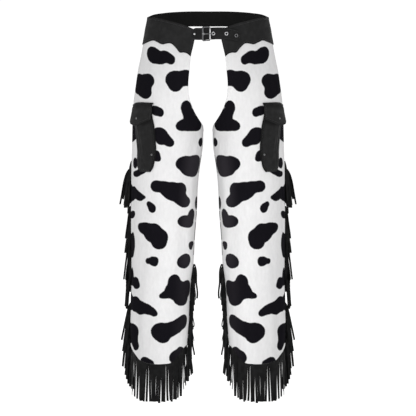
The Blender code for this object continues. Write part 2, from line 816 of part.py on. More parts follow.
def hem_fringe(name, side, seed):
    """Fringe round the front hem: strands hang straight, each turned a little about its own length."""
    draw = random.Random(seed)
    angles = np.linspace(OUTER_SEAM + 1, INNER_SEAM - 1, 400)
    hem = smooth(angles, hem_table, "angle", "z")
    path = leg_points(angles, hem, -PLUSH / 2)
    run = np.concatenate([[0], np.cumsum(np.linalg.norm(np.diff(path[:, :2], axis=0), axis=1))])
    count = int(run[-1] / STRAND_PITCH)
    pitch = run[-1] / count
    inner, outer, thick, strands = [], [], [], []
    for k in range(count):
        middle = (k + 0.5) * pitch
        for place in (middle - STRAND / 2, middle + STRAND / 2):
            angle = np.interp(place, run, angles)
            z = smooth(angle, hem_table, "angle", "z") - HEM_GAP
            point = leg_points(angle, z, -PLUSH / 2)
            away = leg_normal(angle, z) * (1, 1, 0)
            inner.append(point)
            outer.append(point - UP * HEM_STRIP)
            thick.append(-away / np.linalg.norm(away) * STRAND_THICK / 2)
        angle = np.interp(middle, run, angles)
        root = (outer[-1] + outer[-2]) / 2
        along = (outer[-1] - outer[-2]) * (1, 1, 0)
        along = along / np.linalg.norm(along)
        away = np.cross(along, UP)
        tip_z = smooth(angle, hem_fringe_table, "angle", "tip_z") + draw.uniform(-TIP_LONG, TIP_SHORT)
        twist = math.radians(draw.uniform(-MOST_TWIST, MOST_TWIST))
        lean = draw.uniform(0, MOST_LEAN)
        sections = []
        for share, turned in HEM_STEPS:
            centre = root + away * lean * share
            centre[2] = root[2] + (tip_z - root[2]) * share
            across = along * math.cos(twist * turned) + away * math.sin(twist * turned)
            half = across * STRAND * TIP_WIDTH / 2
            thin = np.cross(across, UP) * STRAND_THICK / 2
            sections.append(
                (centre - half + thin, centre - half - thin, centre + half - thin, centre + half + thin)
            )
        strands.append(sections)
    return comb(name, inner, outer, thick, strands, side, LEATHER_LOOK)


for obj in list(bpy.data.objects):
    bpy.data.objects.remove(obj, do_unlink=True)
parts = bpy.data.collections.new("fringed_chaps")
bpy.context.scene.collection.children.link(parts)

for side, word in ((1, "left"), (-1, "right")):
    front_panel(f"{word}_front_panel", side)
    back_panel(f"{word}_back_panel", side)
    yoke(f"{word}_yoke", side)
    wall(f"{word}_pocket", pocket_points(*grid(8, 7)), side, LEATHER, LEATHER_LOOK)
    wall(f"{word}_pocket_flap", flap_points(*grid(7, 8)), side, LEATHER, LEATHER_LOOK)
    snap = share_of(flap_points, SNAP_X, SNAP_Z)
    stud(f"{word}_flap_snap", *face_of(flap_points, *snap), side, SNAP_RADIUS)
    rivet = share_of(pocket_points, RIVET_X, RIVET_Z)
    stud(f"{word}_pocket_rivet", *face_of(pocket_points, *rivet), side, RIVET_RADIUS)
    seam_fringe(f"{word}_outer_fringe", OUTER_SEAM, OUTER_FRINGE, side, 11)
    seam_fringe(f"{word}_inner_fringe", INNER_SEAM, INNER_FRINGE, side, 12)
    hem_fringe(f"{word}_hem_fringe", side, 13)

back_band("back_band")
belt_piece("belt_strap", STRAP_LEFT, STRAP_RIGHT, 16, strap_out, *STRAP_ROUNDS)
belt_piece("buckle_tab", TAB_LEFT, TAB_RIGHT, 9, tab_out, *TAB_ROUNDS)
tab_face, tab_axis = on_belt(TAB_RIVET_X, float(tab_out(np.array(TAB_RIVET_X))))
stud("tab_rivet", tab_face, tab_axis, 1, RIVET_RADIUS)
for number, x in enumerate(EYELETS, 1):
    eyelet(f"eyelet_{number}", x)
buckle_frame("buckle_frame")
buckle_prong("buckle_prong")
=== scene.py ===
import math

import bpy
import numpy as np
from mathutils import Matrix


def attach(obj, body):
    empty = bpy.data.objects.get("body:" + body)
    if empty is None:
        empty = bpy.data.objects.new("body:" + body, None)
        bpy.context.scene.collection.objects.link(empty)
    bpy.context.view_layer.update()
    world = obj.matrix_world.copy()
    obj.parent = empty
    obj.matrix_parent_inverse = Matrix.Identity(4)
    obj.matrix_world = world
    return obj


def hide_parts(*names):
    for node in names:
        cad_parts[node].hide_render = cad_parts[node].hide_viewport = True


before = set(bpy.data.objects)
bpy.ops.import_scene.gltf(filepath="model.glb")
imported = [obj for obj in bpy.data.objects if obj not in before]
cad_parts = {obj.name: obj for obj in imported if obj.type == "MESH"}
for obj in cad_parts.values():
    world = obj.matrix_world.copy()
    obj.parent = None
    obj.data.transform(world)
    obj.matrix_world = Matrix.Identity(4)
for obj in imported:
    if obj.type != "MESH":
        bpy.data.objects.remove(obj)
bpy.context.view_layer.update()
print("frame loaded:", len(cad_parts), "nodes")

# The leg at -X is worked out and the other mirrored. A point on it is named by its angle
# (0 outer side, 90 front, 180 inner side, 270 back) and its height. All sizes in metres.
leg = {
    # z, outer x, centre x, front depth, back depth
    "sections": (
        (-0.9, -0.203, -0.1295, 0.078, 0.082), (-0.83, -0.203, -0.1285, 0.079, 0.083),
        (-0.788, -0.2044, -0.1276, 0.08, 0.084), (-0.735, -0.2036, -0.1258, 0.081, 0.085),
        (-0.682, -0.202, -0.1242, 0.083, 0.087), (-0.614, -0.2017, -0.12, 0.086, 0.09),
        (-0.553, -0.2025, -0.1188, 0.088, 0.092), (-0.469, -0.2028, -0.1158, 0.091, 0.095),
        (-0.419, -0.2022, -0.1145, 0.093, 0.097), (-0.375, -0.202, -0.1127, 0.095, 0.099),
        (-0.297, -0.2001, -0.1065, 0.098, 0.102), (-0.246, -0.1991, -0.105, 0.1, 0.104),
        (-0.213, -0.198, -0.101, 0.102, 0.105), (-0.184, -0.1958, -0.095, 0.104, 0.107),
        (-0.143, -0.1902, -0.082, 0.107, 0.11), (-0.106, -0.1848, -0.062, 0.109, 0.112),
        (-0.066, -0.1765, -0.032, 0.11, 0.113), (-0.035, -0.1708, -0.012, 0.11, 0.112),
        (-0.005, -0.1656, 0, 0.11, 0.11), (0, -0.1646, 0, 0.11, 0.11), (0.045, -0.156, 0, 0.108, 0.108),
    ),
    # z, x of the cloth's open edge at the seat
    "openEdge": (
        (-0.256, -0.0105), (-0.25, -0.0122), (-0.243, -0.0163), (-0.229, -0.0242), (-0.208, -0.0358),
        (-0.192, -0.0421), (-0.174, -0.0479), (-0.136, -0.0515), (-0.099, -0.0489), (-0.059, -0.0448),
        (-0.028, -0.0375), (-0.0145, -0.0348), (0.012, -0.0368),
    ),
    # angle, half angle, z, half height, depth out of the leg, degrees that it drifts in its half height
    "folds": (
        (38, 10, -0.79, 0.08, -0.0032, 0), (60, 13, -0.7, 0.15, 0.002, 0), (18, 10, -0.47, 0.08, -0.003, 0),
        (128, 11, -0.56, 0.09, -0.0028, 0), (142, 9, -0.4, 0.09, 0.0018, 0), (138, 10, -0.3, 0.06, -0.0026, 0),
        (100, 16, -0.79, 0.07, 0.0016, 0), (25, 12, -0.11, 0.05, -0.0026, 0), (205, 14, -0.44, 0.1, -0.0032, 0),
        (235, 13, -0.6, 0.14, 0.0022, 0), (262, 12, -0.48, 0.12, -0.003, 0), (292, 13, -0.72, 0.1, -0.003, 0),
        (312, 12, -0.38, 0.12, 0.0022, 0), (31, 4.5, -0.128, 0.034, -0.0011, 5),
        (44, 4, -0.165, 0.026, 0.0008, -4), (150, 5, -0.29, 0.03, -0.0014, -6),
        (134, 4.5, -0.33, 0.036, -0.001, 7), (20, 4, -0.425, 0.026, -0.0013, 6),
        (33, 4.5, -0.462, 0.034, -0.0011, -7), (12, 3.6, -0.53, 0.06, -0.0014, 3),
        (26, 4, -0.585, 0.05, 0.0008, -5), (8, 4, -0.64, 0.06, -0.0012, 4),
        (140, 4, -0.575, 0.045, -0.0013, -5), (118, 5, -0.64, 0.06, -0.0008, 6),
        (54, 4.6, -0.6, 0.07, -0.0007, 5), (47, 4, -0.8, 0.044, -0.0012, -6), (74, 5, -0.815, 0.05, 0.0008, 4),
        (112, 4.6, -0.76, 0.055, -0.0009, -5), (138, 4, -0.805, 0.035, -0.001, 3),
        (92, 6, -0.5, 0.08, 0.0006, 6), (68, 5, -0.43, 0.06, -0.0006, -6), (196, 4.5, -0.33, 0.04, -0.0013, 6),
        (222, 5, -0.31, 0.05, -0.0012, -7), (248, 5, -0.36, 0.07, 0.0009, 5),
        (214, 4.5, -0.52, 0.06, -0.0012, 5), (240, 4, -0.7, 0.06, -0.0012, -5),
        (272, 5, -0.56, 0.08, -0.0009, 6), (300, 4.5, -0.5, 0.06, -0.0012, -6),
        (328, 5, -0.3, 0.08, -0.0012, 4), (318, 4, -0.64, 0.07, 0.0009, -4), (206, 5, -0.78, 0.04, -0.001, 4),
        (284, 5, -0.3, 0.06, -0.0012, 7), (262, 4, -0.8, 0.035, 0.0009, 3),
    ),
    "outerSeam": -14.0, "innerSeam": 172.0,
    "seamHalf": 0.12,  # half of a seam's gap, in degrees
    "behindSpan": 90.0,  # degrees to a share of 1 behind the outer seam
    "crotchZ": -0.250,
    "plush": 0.0022, "leather": 0.0016,
    "gap": 0.0003, "laidGap": 0.0006,
    "rimBulge": 0.35, "rimShade": 0.6,  # how round a cut edge is, how far it shows as outside
}
sides = ((1, "left"), (-1, "right"))
allEdges = ("top", "bottom", "first", "last")


# cubic through one column of a table against its first column, level past both ends
def curveOf(rows, at, column=1):
    table = np.array(rows, float)
    table = table[np.argsort(table[:, 0])]
    xs, ys = table[:, 0], table[:, column]
    slopes = np.gradient(ys, xs)
    at = np.clip(np.asarray(at, float), xs[0], xs[-1])
    i = np.clip(np.searchsorted(xs, at) - 1, 0, len(xs) - 2)
    step = xs[i + 1] - xs[i]
    t = (at - xs[i]) / step
    low = (2 * t**3 - 3 * t**2 + 1) * ys[i] + (t**3 - 2 * t**2 + t) * step * slopes[i]
    high = (3 * t**2 - 2 * t**3) * ys[i + 1] + (t**3 - t**2) * step * slopes[i + 1]
    return low + high


# 0 before start, 1 after end, with an S between: 3t2 - 2t3
def ease(at, start, end):
    t = np.clip((np.asarray(at, float) - start) / (end - start), 0, 1)
    return t * t * (3 - 2 * t)


# bell of height 1 round a middle: e to the minus square of the distance in widths
def bell(at, middle, width):
    return np.exp(-(((at - middle) / width) ** 2))


def unit(v):
    return v / np.maximum(np.linalg.norm(v, axis=-1, keepdims=True), 1e-12)


# heights of a grid's rows, evenly from an upper edge to a lower one
def between(top, low, rows):
    return top + (low - top) * np.linspace(0, 1, rows)[:, None]


# centre, half width, front depth and back depth of the leg at a height
def legEllipse(z):
    outer, centre, front, back = (curveOf(leg["sections"], z, column) for column in (1, 2, 3, 4))
    return centre, centre - outer, front, back


# ellipse at each height: x = centre - half cos(angle), y = -depth sin(angle), front and back depths unlike
def legBase(angle, z):
    centre, half, front, back = legEllipse(z)
    turn = np.radians(angle)
    depth = np.where(np.sin(turn) > 0, front, back)
    return np.stack([centre - half * np.cos(turn), -depth * np.sin(turn), z + 0 * turn], axis=-1)


# cross product of the surface's two directions, made one long
def legNormal(angle, z):
    across = legBase(angle + 0.5, z) - legBase(angle - 0.5, z)
    up = legBase(angle, z + 0.002) - legBase(angle, z - 0.002)
    return unit(np.cross(across, up))


# sum of bells in angle and height; a fold's middle angle drifts with height
def foldDepth(angle, z):
    total = 0 * (angle + z)
    for middle, halfAngle, height, halfHeight, depth, drift in leg["folds"]:
        along = (z - height) / halfHeight
        turn = (angle - middle - drift * along + 180) % 360 - 180
        total = total + depth * np.exp(-((turn / halfAngle) ** 2) - along**2)
    return total


# point of the leg's form moved out along its normal by the folds and a distance
def legPoints(angle, z, out=0.0):
    angle, z, out = np.broadcast_arrays(*(np.asarray(v, float) for v in (angle, z, out)))
    return legBase(angle, z) + legNormal(angle, z) * (out + foldDepth(angle, z))[..., None]


# angle of the front panel's inner edge: open edge above the crotch, inner seam below
def frontEnd(z):
    centre, half = legEllipse(z)[:2]
    cosine = np.clip((centre - curveOf(leg["openEdge"], z)) / half, -1, 1)
    edge = np.minimum(np.degrees(np.arccos(cosine)), leg["innerSeam"])
    return np.where(z < leg["crotchZ"], leg["innerSeam"], edge) - leg["seamHalf"]


# share 0 is the outer seam and 1 the front panel's inner edge; below 0 runs on behind the seam
def frontAngle(share, z):
    start = leg["outerSeam"] + leg["seamHalf"]
    return np.where(share < 0, start + share * leg["behindSpan"], start + share * (frontEnd(z) - start))


# running length along one axis of a grid of points
def runLength(points, axis):
    steps = np.linalg.norm(np.diff(points, axis=axis), axis=-1)
    start = np.zeros_like(np.take(steps, [0], axis=axis))
    return np.concatenate([start, np.cumsum(steps, axis=axis)], axis=axis)


# distance of each point of a grid from its first and from its last row, or column with axis 1
def fromEnds(points, axis):
    run = runLength(points, axis)
    return run, np.take(run, [-1], axis=axis) - run


# least distance of each point of a grid from the edges named
def edgeDistance(points, edges):
    each = dict(zip(allEdges, (*fromEnds(points, 0), *fromEnds(points, 1))))
    return np.min([each[edge] for edge in edges], axis=0)


# faces of an array of quads by their four corners, each of them an array
def quads(*corners):
    return np.stack(corners, -1).reshape(-1, 4)


# faces between each ring of points and the next; a loop joins its last ring to its first
def ringFaces(index, loop=False):
    a, b = (index, np.roll(index, -1, axis=0)) if loop else (index[..., :-1, :], index[..., 1:, :])
    return quads(a, np.roll(a, -1, axis=-1), np.roll(b, -1, axis=-1), b)


# a new object in the scene
def placed(name, data):
    made = bpy.data.objects.new(name, data)
    bpy.context.scene.collection.objects.link(made)
    return made


# numpy arrays straight into a mesh: corners of its faces as one index array, four or three to a face
def meshOf(name, points, faces, values=None):
    mesh = bpy.data.meshes.new(name)
    mesh.vertices.add(len(points))
    mesh.vertices.foreach_set("co", np.ascontiguousarray(points, np.float32).ravel())
    sizes = np.concatenate([np.full(len(f), f.shape[1]) for f in faces])
    corners = np.concatenate([f.ravel() for f in faces])
    mesh.loops.add(len(corners))
    mesh.loops.foreach_set("vertex_index", corners.astype(np.int32))
    mesh.polygons.add(len(sizes))
    mesh.polygons.foreach_set("loop_start", (np.cumsum(sizes) - sizes).astype(np.int32))
    mesh.polygons.foreach_set("loop_total", sizes.astype(np.int32))
    mesh.polygons.foreach_set("use_smooth", np.full(len(sizes), True))
    for key, value in (values or {}).items():
        field = mesh.attributes.new(key, "FLOAT", "POINT")
        field.data.foreach_set("value", np.ascontiguousarray(value, np.float32).ravel())
    mesh.update(calc_edges=True)
    mesh.validate()
    return placed(name, mesh)


# normals of a grid of points, from the differences of its neighbours
def gridNormals(points):
    down, across = np.gradient(points, axis=0), np.gradient(points, axis=1)
    return unit(np.cross(down, across))


# closed shell: outer face, a rim whose middle bulges outwards, and an inner face a thickness behind
def shellOf(points, thickness):
    index = np.arange(points[..., 0].size).reshape(points.shape[:2])
    loop = np.concatenate([index[0], index[1:, -1], index[-1, -2::-1], index[-2:0:-1, 0]])
    inside = np.concatenate([index[1], index[1:, -2], index[-2, -2::-1], index[-2:0:-1, 1]])
    flat, back = points.reshape(-1, 3), (points - gridNormals(points) * thickness).reshape(-1, 3)
    away = unit(flat[loop] - flat[inside])
    deep = np.linalg.norm(flat[loop] - back[loop], axis=-1, keepdims=True)
    rim = (flat[loop] + back[loop]) / 2 + away * deep * leg["rimBulge"]
    front = quads(index[:-1, :-1], index[1:, :-1], index[1:, 1:], index[:-1, 1:])
    total = index.size
    ring = total * 2 + np.arange(len(loop))
    nextLoop, nextRing = np.roll(loop, -1), np.roll(ring, -1)
    faces = np.concatenate([front, front[:, ::-1] + total, quads(loop, nextLoop, nextRing, ring),
                            quads(ring, nextRing, nextLoop + total, loop + total)])
    outside = np.concatenate([np.ones(total), np.zeros(total), np.full(len(loop), leg["rimShade"])])
    return np.concatenate([flat, back, rim]), faces, outside, loop


# a shell as an object; side -1 mirrors it in x and turns its faces
def clothPiece(name, points, thickness, side=1, fields=None):
    made, faces, outside, loop = shellOf(points, thickness)
    values = {"outside": outside}
    for key, field in (fields or {}).items():
        flat = np.broadcast_to(field, points.shape[:2]).ravel()
        values[key] = np.concatenate([flat, flat, flat[loop]])
    return meshOf(name, made * (side, 1, 1), [faces if side > 0 else faces[:, ::-1]], values)


print("form ready")

plush = {
    "across": 3.2e-3, "down": 3.4e-3,  # size of the grid's cells
    "frontSize": (0.37, 0.83), "backSize": (0.30, 0.72),
    "underYoke": 0.012,  # how far the front panel reaches up under the yoke
    "backHem": -0.830,
    # depth and width where a seam draws the plush in
    "sink": (0.0013, 0.0024),
    # height and depth of the roll and of the stitches at the open edge and at a hem, and where they are
    "openTurn": (0.0010, 0.0007), "hemTurn": (0.0007, 0.0006),
    "rollAt": (0.0030, 0.0026), "stitchesAt": (0.0078, 0.0012),
    "opens": (-0.262, -0.240),  # heights between which the inner seam becomes the open edge
    # angles and heights between which the black patches get a painted sheen, and how much less so lower down
    "paintedSheenAngle": (110, 142), "paintedSheenZ": (-0.27, -0.34), "lessZ": (-0.56, -0.68), "less": 0.62,
    "webbing": 2.6, "grown": 1.1,  # mm that a patch's lobes join by, and that its edge is grown
    # angle, z of the front hem
    "hem": (
        (-14, -0.829), (0, -0.83), (26, -0.847), (43, -0.8625), (60, -0.8705), (77, -0.8735), (100, -0.8735),
        (117, -0.87), (130, -0.857), (147, -0.837), (158, -0.83), (172, -0.829),
    ),
    # angle, z of the back's upper edge
    "backTop": (
        (172, -0.252), (184, -0.263), (215, -0.264), (245, -0.252), (270, -0.228), (300, -0.175), (320, -0.118),
        (336, -0.062), (346, -0.03),
    ),
    "frontLineX": -0.115, "arcSteps": 24,
    # lobes of each patch: mm across from the front line, mm up, half width, half height, degrees turned
    "patches": (
        ((-36.1, -59.8, 27.7, 20, 20), (-16.2, -66.2, 22.3, 14.8, 20), (5.1, -62.8, 20, 13.6, 25),
         (20.4, -70.6, 9.6, 11, 10)),
        ((-52, -127, 22, 17.2, 0), (-56, -158, 18.2, 15, 0), (-66, -143, 26, 18, 0), (-98, -132, 40, 20, 0),
         (-96, -143, 42, 20, 0), (-68, -130, 22, 18.5, 0), (-76, -151, 24, 17.5, 0), (-64, -156, 16, 15, 0)),
        ((30.4, -122.2, 26.5, 22.7, 0), (29.3, -137.6, 16.3, 15.6, 0), (58.2, -117.5, 22.4, 20.5, 0)),
        ((59.1, -196.2, 14.2, 17.9, 0), (67.2, -216.5, 15.5, 21.1, -15), (72.8, -242, 37.5, 16.9, 0),
         (46.5, -245.2, 15, 11.1, -12), (99.8, -245, 25.9, 14.8, 0), (85.6, -222.7, 19.6, 18.5, -30)),
        ((-24.2, -204.6, 16.7, 11.6, 15), (-10.4, -209.4, 8.2, 10, 0)),
        ((-12.5, -262.7, 18.4, 13.6, 10), (-0.7, -275, 15.4, 13, 45), (11.4, -286.3, 15, 11.8, 35),
         (-10, -280, 14, 13, 38)), ((-140, -257, 62, 35, 0),),
        ((-23.7, -322.9, 11.7, 13.2, 20), (-15.9, -332, 6, 5.3, 0)), ((-98.4, -346.1, 14.7, 13.2, -10),),
        ((-93.8, -374.6, 17.8, 6.6, 0), (-71.3, -367.2, 21.8, 7.6, -15)),
        ((59, -345, 28, 19.4, 0), (96, -346, 34, 21, 0), (78, -361.2, 31.5, 17.4, 0),
         (95, -361, 29, 18.4, -10)),
        ((-21.5, -404, 15.4, 14.4, 0), (15, -424.4, 25, 14.4, 30), (-0.7, -406.4, 21, 15, 8),
         (24, -413.2, 24.6, 19.2, 12), (45.4, -414.5, 17.4, 18.4, 0), (45.5, -437, 23.4, 17.5, 35),
         (59, -446.5, 17.4, 13.6, 0)),
        ((-148, -428, 36, 25, 0), (-112, -427, 26, 17, -16), (-83.1, -430.4, 23.1, 11.6, 20),
         (-63.7, -433.2, 10.4, 4.2, 8)), ((-42.5, -451.3, 5.7, 5.8, 0), (-33.4, -461.8, 10, 12, -20)),
        ((-124, -484, 27, 9, -10),),
        ((58.5, -497.5, 21.2, 14.2, 0), (87.4, -483, 15, 16, 5), (75, -501.5, 23, 13.2, 0)),
        ((-63, -516.5, 17.6, 12, 25), (-39, -535.5, 18, 13, 38), (-46, -519, 22, 16, 30),
         (-28, -525, 21, 22, 25), (-11.8, -538.5, 21, 21, 0), (-14, -554, 19, 15.8, 0)),
        ((-116, -563, 20, 33, 3), (-140, -567, 30, 32, 0)),
        ((-44.6, -602.1, 6.3, 6.3, 0), (-31.4, -601.4, 9.2, 10.5, 0), (-22.4, -600, 5.9, 7.9, 0),
         (-25.4, -609, 6, 5.3, 0)), ((93, -560, 14, 6, 0), (89, -566, 9.4, 8.4, 0)),
        ((59, -606, 22.4, 16.2, 0), (67, -601, 19.4, 15.6, 0)),
        ((-120, -641, 15, 17, -15), (-138, -652, 28, 19, 0), (-91, -662, 15.4, 13.7, -35),
         (-84, -668.5, 11.7, 7.4, 0), (-112.1, -660.5, 16.8, 9.8, 0)),
        ((28.6, -656.2, 17.8, 17.8, 0), (36.4, -679.6, 33, 24.4, 0), (74.4, -678, 26.6, 22, 0),
         (6.2, -690.6, 20, 8.8, -15), (53, -701.6, 27.4, 19.6, 0), (19.8, -682.4, 16.8, 15.2, 0)),
        ((-93, -718.2, 23.4, 19.2, -15), (-70.6, -726.8, 22.6, 17.6, 0), (-46.6, -729, 19.6, 12.4, 24),
         (-29.6, -737.4, 12.4, 8.4, 38), (-134, -715, 34, 23, 0)),
        ((-8, -788.6, 26.6, 23.2, 0), (-3.4, -801.6, 17.4, 16.2, 0), (17.6, -783, 23.8, 18.8, -25),
         (40.4, -774, 25, 18, -30), (59.2, -764.2, 20.6, 17.4, -20)),
        ((-106, -791.6, 27.4, 20.2, 0), (-128, -797, 28, 26, 0), (-100, -812, 18, 19, 0),
         (-90, -829, 13, 11, -10)), ((-51.8, -868.6, 15.4, 11.6, 15), (-37, -873, 9, 8, 0)),
        ((44, -858, 30, 20.6, 0), (54, -844.2, 16.4, 12.4, 20), (58.3, -872, 32.6, 18.5, 0)),
        ((121, -453, 15, 17, 0),), ((124, -527, 8, 25, 0),), ((125, -291.5, 13, 11, 0),),
    ),
    # the same, across from the back line, positive towards the outer side
    "backPatches": (
        ((-164, -345, 22, 17, 0), (-150, -362, 17, 13, 10)), ((-150, -453, 12, 15, 0),),
        ((-147, -527, 9, 24, 0),), ((-140, -640, 22, 17, 12), (-122, -652, 15, 12, 0)),
        ((-136, -786, 16, 13, 0),),
        ((-118, -292, 26, 17, 12), (-92, -300, 22, 16, 30), (-138, -284, 14, 12, 0)),
        ((-44, -316, 34, 22, -18), (-14, -300, 24, 18, 20), (-66, -334, 18, 15, 0)),
        ((34, -252, 22, 30, 8), (46, -226, 20, 18, 0), (24, -284, 14, 16, 10)),
        ((96, -196, 30, 22, -12), (118, -184, 20, 18, 0), (76, -212, 15, 13, 25)),
        ((104, -108, 20, 17, 25), (116, -126, 16, 12, 0)), ((112, -264, 34, 28, 10), (84, -284, 20, 15, 30)),
        ((-128, -402, 18, 30, 12), (-116, -428, 18, 18, 0), (-140, -378, 12, 13, 0)),
        ((-64, -408, 16, 11, -20), (-52, -402, 10, 9, 0)),
        ((14, -372, 40, 20, 10), (44, -384, 24, 22, 35), (-18, -364, 17, 14, 0)),
        ((116, -426, 24, 25, 0), (98, -404, 18, 19, 20)), ((-150, -486, 9, 12, 20),),
        ((-78, -482, 34, 19, 16), (-50, -496, 24, 20, 38), (-104, -470, 15, 13, 0)),
        ((0, -458, 12, 15, 15), (8, -470, 9, 9, 0)),
        ((56, -480, 26, 24, -25), (80, -462, 18, 15, 0), (42, -504, 16, 14, 20)), ((112, -484, 16, 9, 10),),
        ((-128, -566, 24, 17, -22), (-108, -556, 17, 14, 10), (-146, -580, 12, 10, 0)),
        ((-28, -558, 20, 28, 15), (-16, -584, 22, 18, 30), (-38, -534, 13, 13, 0)),
        ((58, -574, 14, 11, 20), (68, -580, 9, 9, 0)), ((112, -567, 22, 30, 0), (94, -586, 16, 16, -20)),
        ((-96, -640, 20, 14, 25), (-82, -648, 13, 11, 0)),
        ((22, -652, 36, 21, -14), (50, -640, 22, 17, 10), (-4, -664, 16, 13, 0)), ((-50, -698, 11, 14, -10),),
        ((112, -652, 18, 18, 0), (98, -664, 14, 13, 20)), ((114, -717, 20, 21, 0), (100, -730, 14, 12, 0)),
        ((-122, -736, 32, 19, 14), (-98, -748, 22, 18, 32), (-146, -726, 15, 13, 0)),
        ((-18, -756, 22, 25, -18), (-4, -778, 17, 15, 0)), ((48, -736, 26, 16, 22), (66, -748, 15, 13, 0)),
        ((112, -797, 22, 25, 0), (98, -812, 15, 14, 0)), ((-66, -808, 24, 14, -8), (-46, -802, 15, 12, 0)),
        ((36, -812, 30, 17, 12), (56, -822, 17, 13, 0)), ((-140, -822, 17, 11, 0),),
    ),
}


# signed distance in mm to joined turned ellipses, below 0 inside: k(k - 1)/g for each, where k and g are
# the lengths of the point over the radii and over their squares; lobes of a patch join by -w log(sum e^(-d/w))
def patchField(across, z, patches):
    nearest = np.full(across.shape, 40.0)
    for lobes in patches:
        total = 0
        for middle, height, wide, tall, turned in lobes:
            sine, cosine = math.sin(math.radians(turned)), math.cos(math.radians(turned))
            du, dz = across * 1000 - middle, z * 1000 - height
            a, b = du * cosine - dz * sine, du * sine + dz * cosine
            k = np.sqrt((a / wide) ** 2 + (b / tall) ** 2)
            g = np.sqrt((a / wide**2) ** 2 + (b / tall**2) ** 2) + 1e-4
            total = total + np.exp(-np.clip(k * (k - 1) / g, -30, 60) / plush["webbing"])
        nearest = np.minimum(nearest, -plush["webbing"] * np.log(total + 1e-12))
    return np.clip(nearest - plush["grown"], -30, 30)


# length along the leg's ellipse from a line of constant x on the front, or from the middle of the back
def acrossFrom(angle, z, back=False):
    centre, half, front, behind = legEllipse(z)
    deep = behind if back else front
    start = np.arccos(np.clip((centre - plush["frontLineX"]) / half, -1, 1))
    start = np.full_like(centre, math.radians(270)) if back else start
    total, steps, turned = 0, plush["arcSteps"], np.radians(angle) - start
    for k in range(steps):
        turn = start + turned * (k + 0.5) / steps
        total = total + np.sqrt((half * np.sin(turn)) ** 2 + (deep * np.cos(turn)) ** 2)
    return total * turned / steps


# depth of a seam in the pile: a bell of the distance from it
def sunkSeam(distance):
    return plush["sink"][0] * bell(distance, 0, plush["sink"][1])


# a turned edge: one bell out for its roll and one in for its stitches
def turnedEdge(distance, turn):
    return turn[0] * bell(distance, *plush["rollAt"]) - turn[1] * bell(distance, *plush["stitchesAt"])


# plush sunk at its seams and rolled at its hems; for each side, how far it is an open edge, or None
def seamed(angle, z, seams, hems):
    bare = legPoints(angle, z)
    out = 0
    for opened, distance in zip(seams, fromEnds(bare, 1)):
        turned = opened is not None
        out = out + opened * turnedEdge(distance, plush["openTurn"]) if turned else out - sunkSeam(distance)
    for turned, distance in zip(hems, fromEnds(bare, 0)):
        out = out + turned * turnedEdge(distance, plush["hemTurn"])
    return legPoints(angle, z, out)


yokeEdge = {
    # angle, z of the scalloped lower edge
    "low": (
        (-40, 0.003), (-28, -0.0155), (-14, -0.034), (-7, -0.0357), (0, -0.0362), (7, -0.035), (13.5, -0.0318),
        (19.8, -0.0286), (26.5, -0.0246), (32.8, -0.0216), (38.9, -0.025), (47.6, -0.0305), (52.6, -0.0276),
        (56.6, -0.0275), (60.3, -0.0326), (64.9, -0.041), (69.8, -0.0504), (74, -0.0506), (77.4, -0.0524),
        (84.5, -0.0604),
    ),
    # angle, z of the upper edge
    "top": (
        (-40, 0.0416), (-28, 0.0398), (-20, 0.0376), (-12, 0.0354), (0, 0.0348), (19, 0.036), (39, 0.035),
        (48, 0.0315), (59, 0.0263), (68, 0.0197), (77, 0.01),
    ),
    "topSpan": 90.5,
    "behind": 26.0,  # degrees that it runs on behind the outer seam
    "size": (56, 29, 130),  # rows, columns behind the seam and before it
}


# the scallops as share of the front's width against height
def scallops():
    rows = np.array(yokeEdge["low"])
    angle, z = rows[rows[:, 0] > leg["outerSeam"]].T
    start = leg["outerSeam"] + leg["seamHalf"]
    share = (angle - start) / (frontEnd(z) - start)
    share[-1] = 1.0
    return share, z


# columns and rows of a plush grid
def plushGrid(size):
    return np.linspace(0, 1, int(size[0] / plush["across"])), int(size[1] / plush["down"])


def frontPanel(name, side):
    share, rows = plushGrid(plush["frontSize"])
    top = np.interp(share, *scallops()) + plush["underYoke"]
    hem = curveOf(plush["hem"], leg["outerSeam"] + share * (leg["innerSeam"] - leg["outerSeam"]))
    z = between(top, hem, rows)
    angle = frontAngle(share + 0 * z, z)
    opened = ease(z, *plush["opens"])
    run = seamed(angle, z, (None, opened), (0, 1))
    run = run - legNormal(angle, z) * ((1 - opened) * sunkSeam(fromEnds(run, 1)[1]))[..., None]
    # painted sheen: a mask that lightens the black patches on the inner side of the leg, less so lower down
    paintedSheen = ease(angle, *plush["paintedSheenAngle"]) * ease(z, *plush["paintedSheenZ"])
    paintedSheen = paintedSheen * (1 - plush["less"] * ease(z, *plush["lessZ"]))
    fields = {"patch": patchField(acrossFrom(angle, z), z, plush["patches"]), "paintedSheen": paintedSheen}
    return clothPiece(name, run, leg["plush"], side, fields)


def backPanel(name, side):
    share, rows = plushGrid(plush["backSize"])
    first, last = leg["innerSeam"] + leg["seamHalf"], 360 + leg["outerSeam"] - leg["seamHalf"]
    angle = first + (last - first) * share
    z = between(curveOf(plush["backTop"], angle), plush["backHem"], rows)
    angle = angle + 0 * z
    field = patchField(acrossFrom(angle, z, True), z, plush["backPatches"])
    return clothPiece(name, seamed(angle, z, (None, None), (1, 1)), leg["plush"], side, {"patch": field})


panels = {}
for side, word in sides:
    panels[f"{word}_front_panel"] = frontPanel(f"{word}.front.plush", side)
    panels[f"{word}_back_panel"] = backPanel(f"{word}.back.plush", side)
print("plush", {n: len(p.data.polygons) for n, p in panels.items()})

# leather laid on the plush
trim = {
    "fold": 0.0005, "foldWidth": 0.0040, "seamDip": 0.0005, "seamAt": 0.0046, "seamWidth": 0.0009,
    "ripple": 0.0003,
}
yokeFace = leg["laidGap"] + leg["leather"]


# a folded edge: cloth swells in a bell near its edge and dips along the stitches
def foldedEdge(distance):
    swell = trim["fold"] * (1 - ease(distance, 0, trim["foldWidth"] * 1.6))
    return swell - trim["seamDip"] * bell(distance, trim["seamAt"], trim["seamWidth"])


